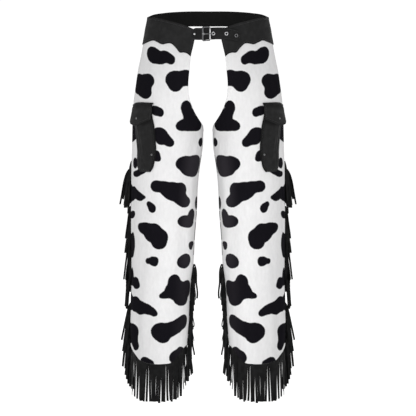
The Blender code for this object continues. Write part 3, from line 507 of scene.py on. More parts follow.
# faint buckles of the leather where it rounds the hip
def leatherRipple(points):
    x, y, z = np.moveaxis(points, -1, 0)
    slow, quick = np.sin(71 * x + 43 * z + 2.1 * np.sin(39 * z)), np.sin(57 * z - 31 * y + 1.3)
    return trim["ripple"] * (slow * quick - 0.2)


# a grid that takes how far it is raised, made twice: bare, to find its edges, then with what they do
def leatherPiece(name, grid, edges, side=1, shade=None):
    bare = grid()
    out = foldedEdge(edgeDistance(bare, edges)) + leatherRipple(bare)
    fields = None if shade is None else {"shade": shade}
    return clothPiece(name, grid(out), leg["leather"], side, fields)


def yokeGrid(raised=0.0):
    rows, behind, ahead = yokeEdge["size"]
    share = np.linspace(-yokeEdge["behind"] / leg["behindSpan"], 0, behind + 1)[:-1]
    share = np.concatenate([share, np.linspace(0, 1, ahead)])
    low = curveOf(yokeEdge["low"], leg["outerSeam"] + share * leg["behindSpan"])
    low = np.where(share < 0, low, curveOf(np.stack(scallops(), 1), share))
    z = between(curveOf(yokeEdge["top"], leg["outerSeam"] + share * yokeEdge["topSpan"]), low, rows)
    return legPoints(frontAngle(share + 0 * z, z), z, yokeFace + raised)


band = {
    # angle, z of the upper and of the lower edge, as far as the middle of the back
    "rows": (
        (-90, 0.0444, 0.0054), (-70, 0.0446, 0.0056), (-52, 0.0434, 0.0048), (-40, 0.0416, 0.003),
    ),
    "ends": (-140 + 0.15, -40 - 0.15),
    "size": (26, 150),
}


def bandGrid(raised=0.0):
    angle = np.linspace(*band["ends"], band["size"][1])
    nearer = np.where(angle < -90, -180 - angle, angle)
    z = between(curveOf(band["rows"], nearer, 1), curveOf(band["rows"], nearer, 2), band["size"][0])
    return legPoints(angle + 0 * z, z, yokeFace + raised)


pocket = {
    # z, left angle, right angle, how far it stands out
    "rows": (
        (-0.3665, 43, 64.5, 0), (-0.36, 39, 67.5, 0.0016), (-0.34, 35, 70.8, 0.003),
        (-0.316, 34.5, 72.2, 0.0034), (-0.284, 30.5, 70.6, 0.0034), (-0.2448, 26, 67.6, 0.003),
        (-0.2195, 24, 63, 0.0026), (-0.199, 23, 60, 0.001),
    ),
    # share across, share down, half width, half height, drift, depth
    "creases": (
        (0.16, 0.55, 0.04, 0.2, 0.03, -0.0012), (0.27, 0.68, 0.035, 0.22, -0.03, -0.001),
        (0.4, 0.62, 0.04, 0.16, 0.05, 0.0007), (0.62, 0.38, 0.05, 0.14, -0.05, -0.0007),
        (0.2, 0.3, 0.04, 0.1, 0.04, 0.0008), (0.75, 0.72, 0.045, 0.14, 0.04, -0.0006),
        (0.5, 0.86, 0.06, 0.07, 0.1, -0.0007),
    ),
    "gusset": 0.115, "gussetDepth": 0.0016, "gussetWidth": 0.022,
    # where the painted shadow under the flap lies: share down under the flap's ends, how much lower midway,
    # half width
    "paintedFlapShadow": (0.19, 0.07, 0.030),
    "size": (140, 90),
}


# domed between its sides by 1 - |2a - 1|^3, with long creases and a gusset line down its inner side
def pocketPoints(across, down, out=0.0):
    high, low = pocket["rows"][-1][0], pocket["rows"][0][0]
    z = high + (low - high) * down
    left, right, stand = (curveOf(pocket["rows"], z, column) for column in (1, 2, 3))
    swell = stand * (1 - np.abs(2 * across - 1) ** 3)
    for atAcross, atDown, wide, tall, drift, depth in pocket["creases"]:
        along = (down - atDown) / tall
        swell = swell + depth * np.exp(-(((across - atAcross - drift * along) / wide) ** 2) - along**2)
    line = bell(across, 1 - pocket["gusset"], pocket["gussetWidth"]) * ease(down, 0.02, 0.2)
    swell = swell - pocket["gussetDepth"] * line
    return legPoints(left + (right - left) * across, z, yokeFace + swell + out)


# painted shade: 1 where the pocket turns in to its gusset, and a painted shadow just under the flap's lower
# edge
def pocketPaintedShade(across, down):
    gusset = ease(across, 1 - pocket["gusset"] * 0.95, 1 - pocket["gusset"] * 0.55)
    ends, lower, width = pocket["paintedFlapShadow"]
    flapShadow = bell(down, ends + lower * (1 - np.abs(2 * across - 1)), width)
    return np.clip(gusset + flapShadow * ease(across, 0.2, 0.5), 0, 1)


flap = {
    # share down, left angle, right angle, left z, right z, bow, point, out, lift of the outer corner
    "rows": (
        (0, 13, 61.5, -0.1935, -0.184, 0.0048, 0, 0, 0),
        (0.16, 9, 61.8, -0.201, -0.192, 0.0034, 0.0012, 0.0054, 0.0004),
        (0.5, 5, 63, -0.217, -0.2074, 0.0008, 0.0058, 0.0056, 0.0016),
        (0.8, 2, 62.6, -0.2314, -0.2206, 0, 0.0105, 0.0056, 0.0036),
        (1, 5, 61.8, -0.2388, -0.2272, 0, 0.0134, 0.0056, 0.0052),
    ),
    "size": (60, 90),
    "shade": 0.8,
    # x, z, radius
    "snap": (-0.1886, -0.2263, 0.0031), "rivet": (-0.1483, -0.3209, 0.0027),
}


# flat at its seam, then over the pocket: rows bow up by sin(pi a^0.6), lower ones point down midway,
# and the outer corner lifts by (1 - a)^2
def flapPoints(across, down, out=0.0):
    columns = (curveOf(flap["rows"], down, column) for column in range(1, 9))
    left, right, leftZ, rightZ, bow, point, stand, lift = columns
    bow = bow * np.sin(math.pi * np.clip(across, 0, 1) ** 0.6)
    z = leftZ + (rightZ - leftZ) * across + bow - point * (1 - np.abs(2 * across - 1) ** 1.15)
    raised = stand * ease(across, 0, 0.28) + lift * (1 - across) ** 2
    return legPoints(left + (right - left) * across, z, yokeFace + raised + out)


# darker at its outer end, alike all the way down
def flapShade(across, down):
    return flap["shade"] * (1 - ease(across, 0.02, 0.10)) + 0 * down


# shares across and down for a grid of rows and columns
def sharesOf(size):
    return np.meshgrid(np.linspace(0, 1, size[1]), np.linspace(0, 1, size[0]))


belt = {
    "half": 0.0153,
    # x of both ends, how far each is rounded off, rows and columns
    "strap": ((-0.0250, 0.0840), (0.004, 0.010), (52, 190)),
    "tab": ((-0.0395, -0.0115), (0.008, 0.001), (30, 50)),
    "endCut": 0.45,  # share of the half height lost at a rounded end
    "tabStep": (-0.0312, -0.0270),  # x between which the tab steps up over the strap
    # x, height of the belt's middle line
    "drop": (
        (-0.04, -0.0014), (-0.025, -0.0014), (0.005, -0.0006), (0.03, 0), (0.048, -0.0008), (0.073, -0.0062),
        (0.084, -0.0092),
    ),
    "eyelets": (0.0137, 0.0476, 0.0731),
    "eyelet": (0.0050, 0.0027),  # outer radius, hole's radius
    "dimple": 0.0011, "handled": 0.42,  # depth under an eyelet, shade of handled leather
    "rivet": (-0.0348, 0.0029),  # x, radius
    "hinge": -0.0137, "bar": 0.0054,  # x of the frame's two bars
    "frameHalf": 0.0175, "wire": 0.0017, "corner": 0.0032, "clear": 0.0005, "flange": 0.0011,
    "roller": (0.0150, 0.0021),  # half length, radius
    "eyeletAround": 48, "rollerAround": 28, "wireAround": 20, "prongAround": 16, "prongStations": 70,
}
strapOut = yokeFace + leg["laidGap"] + leg["leather"]
tabRise = leg["leather"] + leg["gap"]


# the waist ring's ellipse at a given x, moved out along its own normal
def beltPoints(x, z, out):
    x, z, out = np.broadcast_arrays(*(np.asarray(v, float) for v in (x, z, out)))
    centre, half, front = legEllipse(z)[:3]
    cosine = np.clip((np.abs(x) + centre) / half, 0, 1)
    sine = np.sqrt(1 - cosine**2)
    normal = unit(np.stack([np.sign(x) * cosine / half, -sine / front, 0 * x], axis=-1))
    return np.stack([x, -front * sine, z], axis=-1) + normal * out[..., None]


# the tab steps up where it crosses the strap's end
def beltOut(kind, x):
    return strapOut + tabRise * (ease(x, *belt["tabStep"]) if kind == "tab" else 0 * x)


# half height less a bit at each end, where the strap is rounded off
def beltGrid(kind, raised=0.0):
    ends, rounding, size = belt[kind]
    x = ends[0] + (ends[1] - ends[0]) * np.linspace(0, 1, size[1])
    half = np.full_like(x, belt["half"])
    for distance, reach in zip((x - ends[0], ends[1] - x), rounding):
        half = half - belt["half"] * belt["endCut"] * np.clip((reach - distance) / reach, 0, 1) ** 2
    z = curveOf(belt["drop"], x) + half * np.linspace(1, -1, size[0])[:, None]
    x = x + 0 * z
    return beltPoints(x, z, beltOut(kind, x) + raised)


# edges half as full as the yokes', and a dimple under each eyelet that is also darkened with painted shade
def beltSheet(name, kind):
    bare = beltGrid(kind)
    holes = 0
    for x in belt["eyelets"]:
        distance = np.hypot(bare[..., 0] - x, bare[..., 2] - curveOf(belt["drop"], x))
        holes = holes + bell(distance, 0, belt["eyelet"][1] * 0.8)
    out = foldedEdge(edgeDistance(bare, allEdges)) * 0.5 - belt["dimple"] * holes
    # the belt's handled leather a little darker all over, and painted shade in the eyelets' dimples
    fields = {"shade": np.clip(belt["handled"] + holes * 1.6, 0, 1)}
    return clothPiece(name, beltGrid(kind, out), leg["leather"], 1, fields)


leathers = {}
for side, word in sides:
    leathers[f"{word}_yoke"] = leatherPiece(f"{word}.yoke.leather", yokeGrid, ("top", "bottom", "last"), side)
    for node, name, size, points, shade, edges in (
        ("pocket", "pocket", pocket["size"], pocketPoints, pocketPaintedShade, allEdges),
        ("pocket_flap", "flap", flap["size"], flapPoints, flapShade, allEdges[1:]),
    ):
        shares = sharesOf(size)
        leathers[f"{word}_{node}"] = leatherPiece(
            f"{word}.{name}.leather", lambda raised=0.0: points(*shares, raised), edges, side, shade(*shares))
leathers["back_band"] = leatherPiece("back.band.leather", bandGrid, ("top", "bottom"))
leathers["belt_strap"] = beltSheet("strap.leather", "strap")
leathers["buckle_tab"] = beltSheet("tab.leather", "tab")
print("leather pieces", len(leathers))

thread = {
    "pitch": 0.0040, "length": 0.0031, "wide": 0.00042, "high": 0.00034, "sunk": 0.00006,
    "inset": 0.0046, "beltInset": 0.0030,  # from a piece's edge
    "trimmed": 0.006,  # left free at a line's ends
    "ahead": 0.0008,  # how far ahead its direction is taken
    "size": (80, 80),
}


# the line at a distance from one edge of a grid, each point between its two nearest rows or columns
def insetLine(points, edge, distance):
    normals = gridNormals(points)
    if edge in ("bottom", "last"):
        points, normals = points[::-1, ::-1], normals[::-1, ::-1]
    if edge in ("first", "last"):
        points, normals = points.swapaxes(0, 1), normals.swapaxes(0, 1)
    run = runLength(points, 0)
    row = np.clip((run < distance).sum(axis=0), 1, len(points) - 1)
    column = np.arange(points.shape[1])
    share = (distance - run[row - 1, column]) / (run[row, column] - run[row - 1, column])
    line, facing = (v[row - 1, column] * (1 - share[:, None]) + v[row, column] * share[:, None]
                    for v in (points, normals))
    along = runLength(line[:, None], 0)[:, 0]
    kept = (along >= thread["trimmed"]) & (along <= along[-1] - thread["trimmed"])
    return line[kept], unit(facing)[kept]


# each stitch is a spindle of ten points: two ends and two rings of four, side by side along its line
def stitchRow(name, lines, side):
    bodies, faces, count = [], [], 0
    pitch, half, wide, high = thread["pitch"], thread["length"] / 2, thread["wide"], thread["high"]
    for line, facing in lines:
        along = runLength(line[:, None], 0)[:, 0]
        places = np.arange(pitch * 0.7, along[-1] - pitch * 0.3, pitch)
        wanted = ((places, line), (places + thread["ahead"], line), (places, facing))
        centre, ahead, up = (np.stack([np.interp(at, along, rows[:, k]) for k in range(3)], 1)
                             for at, rows in wanted)
        up, tangent = unit(up), unit(ahead - centre)
        across = np.cross(up, tangent)
        centre = centre + up * (high * 0.5 - thread["sunk"])
        points = [centre + tangent * half * step + across * a * wide + up * b * high
                  for step in (-0.5, 0.5) for a, b in ((1, 0), (0, 1), (-1, 0), (0, -1))]
        points += [centre - tangent * half - up * high * 0.7, centre + tangent * half - up * high * 0.7]
        bodies.append(np.stack(points, 1).reshape(-1, 3))
        first = count + 10 * np.arange(len(places))[:, None]
        for k, other in ((0, 1), (1, 2), (2, 3), (3, 0)):
            corners = ([4 + k, 4 + other, other, k], [k, other, 8], [4 + other, 4 + k, 9])
            faces += [first + face for face in corners]
        count += 10 * len(places)
    faces = faces if side > 0 else [f[:, ::-1] for f in faces]
    return meshOf(name, np.concatenate(bodies) * (side, 1, 1), faces)


stitches = {}


# topstitching along the named edges of a leather piece's grid
def topstitch(node, points, edges, side=1, inset=thread["inset"]):
    lines = [insetLine(points, edge, inset) for edge in edges]
    stitches[node] = stitchRow(f"{leathers[node].name}.stitches", lines, side)


for side, word in sides:
    topstitch(f"{word}_yoke", yokeGrid(), ("top", "bottom", "last"), side)
    topstitch(f"{word}_pocket", pocketPoints(*sharesOf(thread["size"])), allEdges[1:], side)
    topstitch(f"{word}_pocket_flap", flapPoints(*sharesOf(thread["size"])), allEdges, side)
topstitch("back_band", bandGrid(), ("top", "bottom"))
topstitch("belt_strap", beltGrid("strap"), ("top", "bottom", "last"), 1, thread["beltInset"])
topstitch("buckle_tab", beltGrid("tab"), ("top", "bottom", "first"), 1, thread["beltInset"])
print("stitches", sum(len(p.data.vertices) // 10 for p in stitches.values()))

studs = {
    # radius and height as shares, from the rim to the crown
    "snap": (
        (1, 0), (1.04, 0.12), (1, 0.3), (0.9, 0.4), (0.8, 0.38), (0.74, 0.46), (0.62, 0.74), (0.42, 0.93),
        (0.2, 1), (0, 1.02),
    ),
    "rivet": (
        (1, 0), (1.05, 0.16), (1, 0.36), (0.88, 0.58), (0.66, 0.82), (0.38, 0.96), (0.18, 1), (0, 1.01),
    ),
    "height": 0.0019, "around": 40, "search": (161, 161),  # grid on which a stud's place is found
    "point": 0.00001,  # radius that stands for the middle of a closed disc
}
sharpAngle = math.radians(50)  # harder edges than this stay sharp


# a profile of radius and height turned round an axis
def turnedProfile(profile, centre, axis, around, closed=False):
    axis = unit(np.asarray(axis, float))
    first = unit(np.cross(axis, (0.31, 0.2, 0.93)))
    turn = np.linspace(0, 2 * math.pi, around, endpoint=False)[:, None]
    ring = first * np.cos(turn) + np.cross(axis, first) * np.sin(turn)
    radius, height = np.asarray(profile, float).T[:, :, None, None]
    points = centre + ring * radius + axis * height
    return points.reshape(-1, 3), ringFaces(np.arange(len(profile) * around).reshape(-1, around), closed)


# a stud's crown closes with its last ring drawn to a point; its back is a plain disc
def stud(name, kind, face, away, side, radius):
    rows = [(r * radius, h * studs["height"]) for r, h in studs[kind]]
    profile = [(studs["point"], 0.0), *rows[:-1], (studs["point"], rows[-1][1])]
    centre = (np.asarray(face) + unit(np.asarray(away)) * leg["gap"]) * (side, 1, 1)
    points, faces = turnedProfile(profile, centre, np.asarray(away) * (side, 1, 1), studs["around"])
    return meshOf(name, points, [faces])


# point and outward normal of a surface given by two shares, where it comes nearest an x and height
def spotOn(points, x, z):
    across, down = sharesOf(studs["search"])
    made = points(across, down)
    best = np.argmin(np.hypot(made[..., 0] - x, made[..., 2] - z))
    across, down = np.array(across.flat[best]), np.array(down.flat[best])
    sideways = points(across + 0.02, down) - points(across - 0.02, down)
    downwards = points(across, down + 0.02) - points(across, down - 0.02)
    return points(across, down), unit(np.cross(downwards, sideways))


def onBelt(x, out):
    z = curveOf(belt["drop"], x)
    here, above = beltPoints(x, z, out), beltPoints(x, z, out + 0.001)
    return here, unit(above - here)


# flange of rounded section, its inner lip running down into the hole
def eyelet(name, x):
    outer, hole = belt["eyelet"]
    middle, half = (outer + hole) / 2, (outer - hole) / 2
    turn = np.linspace(0, math.pi, 9)
    top = np.stack([middle + half * np.cos(turn), belt["flange"] * np.sin(turn) ** 0.7], 1)
    lip = ((hole, -0.0010), (hole + 0.0004, -0.0010), (hole + 0.0005, -0.0002), (outer - 0.0004, -0.0002))
    centre, axis = onBelt(x, strapOut + leg["gap"] * 0.6)
    points, faces = turnedProfile(np.concatenate([top, lip]), centre, axis, belt["eyeletAround"], closed=True)
    return meshOf(name, points, [faces[:, ::-1]])


# depth of the buckle's bars, just clear of the tab, and height of its middle
def framePlace():
    face = beltPoints(belt["hinge"], 0.0, strapOut + tabRise)
    height = curveOf(belt["drop"], (belt["hinge"] + belt["bar"]) / 2)
    return float(face[1]) - belt["clear"] - belt["wire"], float(height)


# closed loop with rounded corners and a roller on the bar that the prong rests on; the roller is marked for a
# painted highlight
def buckleFrame(name):
    middle, wide = (belt["bar"] + belt["hinge"]) / 2, (belt["bar"] - belt["hinge"]) / 2
    turn = np.radians(np.concatenate([90 * k + np.linspace(0, 90, 9) for k in range(4)]))
    signX, signZ = np.repeat((1, -1, -1, 1), 9), np.repeat((1, 1, -1, -1), 9)
    corner, wire, (depth, height) = belt["corner"], belt["wire"], framePlace()
    x = middle + signX * (wide - corner) + corner * np.cos(turn)
    z = height + signZ * (belt["frameHalf"] - corner) + corner * np.sin(turn)
    steps = np.arange(len(x) * 4) / 4
    x, z = (np.interp(steps, np.arange(len(x) + 1), np.append(v, v[0])) for v in (x, z))
    line = np.stack([x, 0 * x + depth, z], 1)
    tangent = unit(np.roll(line, -1, axis=0) - np.roll(line, 1, axis=0))
    inward = np.cross(tangent, (0, 1, 0))[:, None]
    around = np.linspace(0, 2 * math.pi, belt["wireAround"], endpoint=False)[None, :, None]
    flatBar = ease(-x, -middle, -belt["hinge"] - corner)[:, None, None]
    points = line[:, None] + inward * np.cos(around) * (wire * (0.86 + 0.5 * flatBar))
    points = points + np.array((0, 1, 0)) * np.sin(around) * wire * (0.94 - 0.06 * flatBar)
    loop = ringFaces(np.arange(points.size // 3).reshape(-1, belt["wireAround"]), True)[:, (0, 3, 2, 1)]
    points = points.reshape(-1, 3)
    long, radius = belt["roller"]
    sleeve = [(0.0012, -long), (radius - 0.0003, -long), (radius, -long + 0.0004), (radius, -long * 0.3),
              (radius, long * 0.3), (radius, long - 0.0004), (radius - 0.0003, long), (0.0012, long)]
    centre = np.array((belt["bar"], depth, height))
    roller, faces = turnedProfile(sleeve, centre, (0, 0, 1), belt["rollerAround"], closed=True)
    # the roller's points are marked for the painted highlight
    shine = np.repeat((0.0, 1.0), (len(points), len(roller)))
    return meshOf(name, np.concatenate([points, roller]), [loop, faces + len(points)], {"shine": shine})


# x, half width, half thickness, depth before the frame: wraps the hinge bar, then tapers to its tip
prong = (
    (-0.0163, 0.0008, 0.0006, 0.001), (-0.0158, 0.003, 0.0009, 0.0016), (-0.0137, 0.004, 0.0011, 0.0019),
    (-0.0114, 0.0036, 0.0011, 0.0018), (-0.0094, 0.0026, 0.0011, 0.0014), (-0.007, 0.0012, 0.001, 0.001),
    (-0.004, 0.001, 0.0009, 0.0008), (0.001, 0.001, 0.0009, 0.0012), (0.0053, 0.001, 0.0009, 0.0018),
    (0.0078, 0.001, 0.0008, 0.0014), (0.009, 0.0008, 0.0007, 0.001), (0.0094, 0.0001, 0.0001, 0.0009),
)


# a tapered bar of elliptical section along a table of stations
def buckleProng(name):
    rows = np.array(prong)
    steps = np.linspace(0, len(rows) - 1, belt["prongStations"])
    x = np.interp(steps, np.arange(len(rows)), rows[:, 0])[:, None]
    wide, thick, ahead = (np.interp(x, rows[:, 0], rows[:, k]) for k in (1, 2, 3))
    depth, height = framePlace()
    y = depth - belt["wire"] * 0.88 - leg["gap"] - ahead * 0.4 - thick
    turn = np.linspace(0, 2 * math.pi, belt["prongAround"], endpoint=False)
    points = np.stack([x + 0 * turn, y + thick * np.sin(turn), height + wide * np.cos(turn)], -1)
    index = np.arange(points.size // 3).reshape(-1, belt["prongAround"])
    faces = [ringFaces(index)[:, (0, 3, 2, 1)], index[:1, ::-1], index[-1:]]
    return meshOf(name, points.reshape(-1, 3), faces)


metals = {}
for side, word in sides:
    for node, name, kind, points in (("flap_snap", "flap.snap", "snap", flapPoints),
                                     ("pocket_rivet", "pocket.rivet", "rivet", pocketPoints)):
        x, z, radius = flap[kind]
        metals[f"{word}_{node}"] = stud(f"{word}.{name}", kind, *spotOn(points, x, z), side, radius)
x, radius = belt["rivet"]
metals["tab_rivet"] = stud("tab.rivet", "rivet", *onBelt(x, float(beltOut("tab", x))), 1, radius)
for number, x in enumerate(belt["eyelets"], 1):
    metals[f"eyelet_{number}"] = eyelet(f"eyelet.{number}", x)
metals["buckle_frame"] = buckleFrame("buckle.frame")
metals["buckle_prong"] = buckleProng("buckle.prong")
for piece in metals.values():
    piece.data.set_sharp_from_angle(angle=sharpAngle)
print("metal pieces", len(metals))

fringe = {
    "wide": 0.0066, "thick": 0.0010, "hemPitch": 0.0065, "stations": 14,
    "seamStrip": 0.0036, "inset": 0.0004, "ranks": 5, "rankPitch": 0.0034,
    "hemStrip": 0.0070, "hemOverlap": 0.0040,
    "hemEnds": 1,  # degrees that the hem fringe stops short of a seam
    "seamTuck": 0.0004, "hemTuck": 0.0032,  # how far roots reach into their strip
    # what is drawn for each strand: tip out and length at a seam, sway there, share of the width
    "tipBy": (-0.0006, 0.0006), "lengthBy": (-0.0030, 0.0014), "swayBy": (-0.002, 0.002),
    "widthBy": (0.85, 1.05), "seamPace": (0.7, 1.3), "hemPace": (0.6, 1.2), "waveStart": (0, 6),
    # and at the hem: height of the tip, lean of the tip, share of the width
    "hemTipBy": (-0.0012, 0.0042), "leanBy": (-0.001, 0.006), "hemWidthBy": (0.90, 1.08),
    # height of the hem's waves, how far its ends spread, how far from a gap strands part
    "hemWave": 0.0006, "hemSpread": 0.0050, "gapReach": 0.008,
    # seed of the draws, share of the usual width, height and number of the waves
    "outerDraw": (21, 1.0, 0.0009, 1.0), "innerDraw": (22, 0.78, 0.0018, 1.7), "hemDraw": (23,),
    # share of strands that turn far, how far those and the others turn, shares between which they do
    "seamTwist": (0.16, (55, 80), (4, 34), (0.02, 0.7)), "hemTwist": (0.05, (50, 75), (0, 20), (0.0, 0.8)),
    # one row a tuft: z of its first and last root, strands, how far their tips hang out, z of those tips,
    # how soon the strands reach out
    "outer": (
        (-0.345, -0.352, 2, 0.009, 0.0115, -0.45, -0.487, 0.85),
        (-0.364, -0.367, 2, 0.0332, 0.027, -0.463, -0.449, 0.6),
        (-0.365, -0.369, 2, 0.024, 0.0192, -0.464, -0.468, 0.62),
        (-0.37, -0.374, 2, 0.0146, 0.01, -0.469, -0.47, 0.62),
        (-0.375, -0.41, 4, 0.0095, 0.005, -0.464, -0.452, 0.8),
        (-0.464, -0.5, 5, 0.0156, 0.0036, -0.55, -0.567, 0.9),
        (-0.508, -0.536, 5, 0.0192, 0.006, -0.59, -0.612, 0.95),
        (-0.543, -0.575, 5, 0.0232, 0.0134, -0.658, -0.67, 0.95),
        (-0.58, -0.608, 4, 0.0146, 0.0057, -0.677, -0.691, 0.9),
        (-0.617, -0.655, 6, 0.0204, 0.0138, -0.727, -0.738, 0.6),
        (-0.72, -0.741, 4, 0.028, 0.011, -0.818, -0.828, 0.9),
        (-0.746, -0.767, 4, 0.0236, 0.008, -0.851, -0.862, 0.9),
        (-0.772, -0.793, 4, 0.0228, 0.006, -0.89, -0.899, 0.9),
        (-0.799, -0.814, 3, 0.019, 0.0078, -0.913, -0.936, 0.9),
        (-0.817, -0.828, 4, 0.0055, -0.0053, -0.933, -0.949, 0.9),
    ),
    "inner": (
        (-0.615, -0.64, 4, 0.0098, 0.0022, -0.709, -0.712, 0.5),
        (-0.645, -0.667, 4, 0.0088, 0.005, -0.723, -0.733, 0.6),
        (-0.673, -0.704, 4, 0.0104, 0.0046, -0.739, -0.757, 0.7),
        (-0.71, -0.736, 4, 0.0112, 0.0034, -0.781, -0.797, 0.8),
        (-0.741, -0.765, 4, 0.0112, 0.0044, -0.82, -0.836, 0.9),
        (-0.77, -0.791, 4, 0.0124, 0.0047, -0.855, -0.87, 0.9),
        (-0.797, -0.815, 4, 0.0108, 0.0013, -0.905, -0.915, 0.9),
        (-0.818, -0.826, 4, 0.0029, -0.0058, -0.92, -0.931, 0.9),
    ),
    # angle and width of the gaps between hem tufts
    "hemGaps": (
        (9, 0.003), (43, 0.0052), (61.6, 0.0026), (66, 0.0042), (75.4, 0.0028), (95.3, 0.0036), (104.4, 0.005),
        (112.7, 0.0044), (124, 0.0018),
    ),
    # angle, z of the tips
    "hem": (
        (-12, -0.934), (8, -0.947), (17, -0.959), (28, -0.966), (42, -0.97), (58, -0.974), (85, -0.976),
        (114, -0.9745), (124, -0.9715), (134, -0.967), (141, -0.962), (148, -0.95), (156, -0.933),
        (171, -0.923),
    ),
}
upward = np.array((0, 0, 1.0))


# flat bars between two lines of stations, a depth either way: four corners a station, closed at both ends
def barsOf(left, right, deep):
    points = np.stack([left - deep, right - deep, right + deep, left + deep], axis=-2)
    index = np.arange(points.size // 3).reshape(points.shape[:-1])
    ends = [index[..., 0, ::-1].reshape(-1, 4), index[..., -1, :].reshape(-1, 4)]
    return points.reshape(-1, 3), np.concatenate([ringFaces(index), *ends])


# each strand's flat side starts along one direction and twists towards another, square to its centreline
def strandsOf(lines, widths, start, toward, twist):
    across = start * np.cos(twist)[..., None] + toward * np.sin(twist)[..., None]
    tangent = unit(np.gradient(lines, axis=1))
    across = unit(across - tangent * (across * tangent).sum(-1, keepdims=True))
    half = across * widths[..., None] / 2
    return barsOf(lines - half, lines + half, np.cross(tangent, across) * fringe["thick"] / 2)


# strands and their strip as one piece, its faces turned so that its volume comes out positive
def fringePiece(name, strands, strip, side):
    points = np.concatenate([strands[0], strip[0]]) * (side, 1, 1)
    faces = np.concatenate([strands[1], strip[1] + len(strands[0])])
    a, b, c, d = (points[faces[:, k]] for k in range(4))
    volume = (a * (np.cross(b, c) + np.cross(c, d))).sum()
    piece = meshOf(name, points, [faces if volume > 0 else faces[:, ::-1]])
    piece.data.set_sharp_from_angle(angle=sharpAngle)
    return piece


# a slow wave down each strand, with a pace and a start of its own
def waveOf(draw, share, height, pace, count, turns=1.0):
    turn = 2 * math.pi * share * turns * draw.uniform(*pace, count)[:, None]
    return height * np.sin(turn + draw.uniform(*fringe["waveStart"], count)[:, None])


# most strands turn a little about their own length and a few of them far, more and more down the strand
def twistOf(draw, count, share, kind):
    few, far, little, reach = fringe[kind]
    twist = np.where(draw.uniform(0, 1, count) < few, draw.uniform(*far, count), draw.uniform(*little, count))
    return np.radians(twist * draw.choice((-1, 1), count))[:, None] * ease(share, *reach)


# a strand leaves its seam sideways and curves down: out grows as share^reach, drop as share^1.2
def seamFringe(name, seam, kind, side):
    seed, width, curl, turns = fringe[f"{kind}Draw"]
    draw = np.random.default_rng(seed)
    counts = [row[2] for row in fringe[kind]]
    tufts, count = np.repeat(np.array(fringe[kind]), counts, axis=0), sum(counts)
    first, last, _, firstOut, lastOut, firstTip, lastTip, reach = tufts.T
    within = np.concatenate([np.linspace(0, 1, strands) for strands in counts])
    z = first + (last - first) * within
    tipOut = firstOut + (lastOut - firstOut) * within**0.8 + draw.uniform(*fringe["tipBy"], count)
    length = z - firstTip - (lastTip - firstTip) * within + draw.uniform(*fringe["lengthBy"], count)
    away = unit(legNormal(seam, z.mean()) * (1, 1, 0))
    along = np.cross(away, (0, 0, 1))
    share = np.linspace(0, 1, fringe["stations"])[None, :]
    rank = (np.arange(count) % fringe["ranks"] - (fringe["ranks"] - 1) / 2) * fringe["rankPitch"]
    wave = waveOf(draw, share, curl, fringe["seamPace"], count, turns)
    start = fringe["seamStrip"] - fringe["seamTuck"]
    out = start + (tipOut - start)[:, None] * share ** reach[:, None] + wave * share
    drop = length[:, None] * share**1.2
    sway = wave * 1.6 + draw.uniform(*fringe["swayBy"], count)[:, None]
    sway = rank[:, None] * ease(share, 0, 0.25) + sway * share
    lines = legPoints(seam, z)[:, None] + away * out[..., None] - upward * drop[..., None]
    lines = lines + along * sway[..., None]
    twist = twistOf(draw, count, share, "seamTwist")
    lean = ease(share, 0.0, 0.30)[..., None] * math.pi / 2
    wide = fringe["wide"] * width * (0.62 + 0.38 * ease(share, 0.02, 0.25)) * (1 - 0.12 * share)
    wide = wide * draw.uniform(*fringe["widthBy"], count)[:, None]
    feet = legPoints(seam, np.linspace(z.min() - 0.004, z.max(), 120))
    inner, outer = (feet + away * fringe[edge] for edge in ("inset", "seamStrip"))
    strip = barsOf(inner, outer, along * fringe["thick"] / 2)
    strands = strandsOf(lines, wide, upward * np.cos(lean) + away * np.sin(lean), along, twist)
    return fringePiece(name, strands, strip, side)


# line behind the front hem at a height over it: inside the plush, and out to its middle at both ends
def hemLine(angle, over):
    ends = ease(angle, 160, 171) + ease(angle, 8, -10)
    inside = -(leg["plush"] + fringe["thick"]) * (1 - 0.7 * ends)
    return legPoints(angle, curveOf(plush["hem"], angle) + over, inside)


# angles along the hem fringe, and level directions straight out of the leg there
def hemAngles(count):
    return np.linspace(leg["outerSeam"] + fringe["hemEnds"], leg["innerSeam"] - fringe["hemEnds"], count)


def levelOut(angle, z):
    return unit(legNormal(angle, z) * (1, 1, 0))


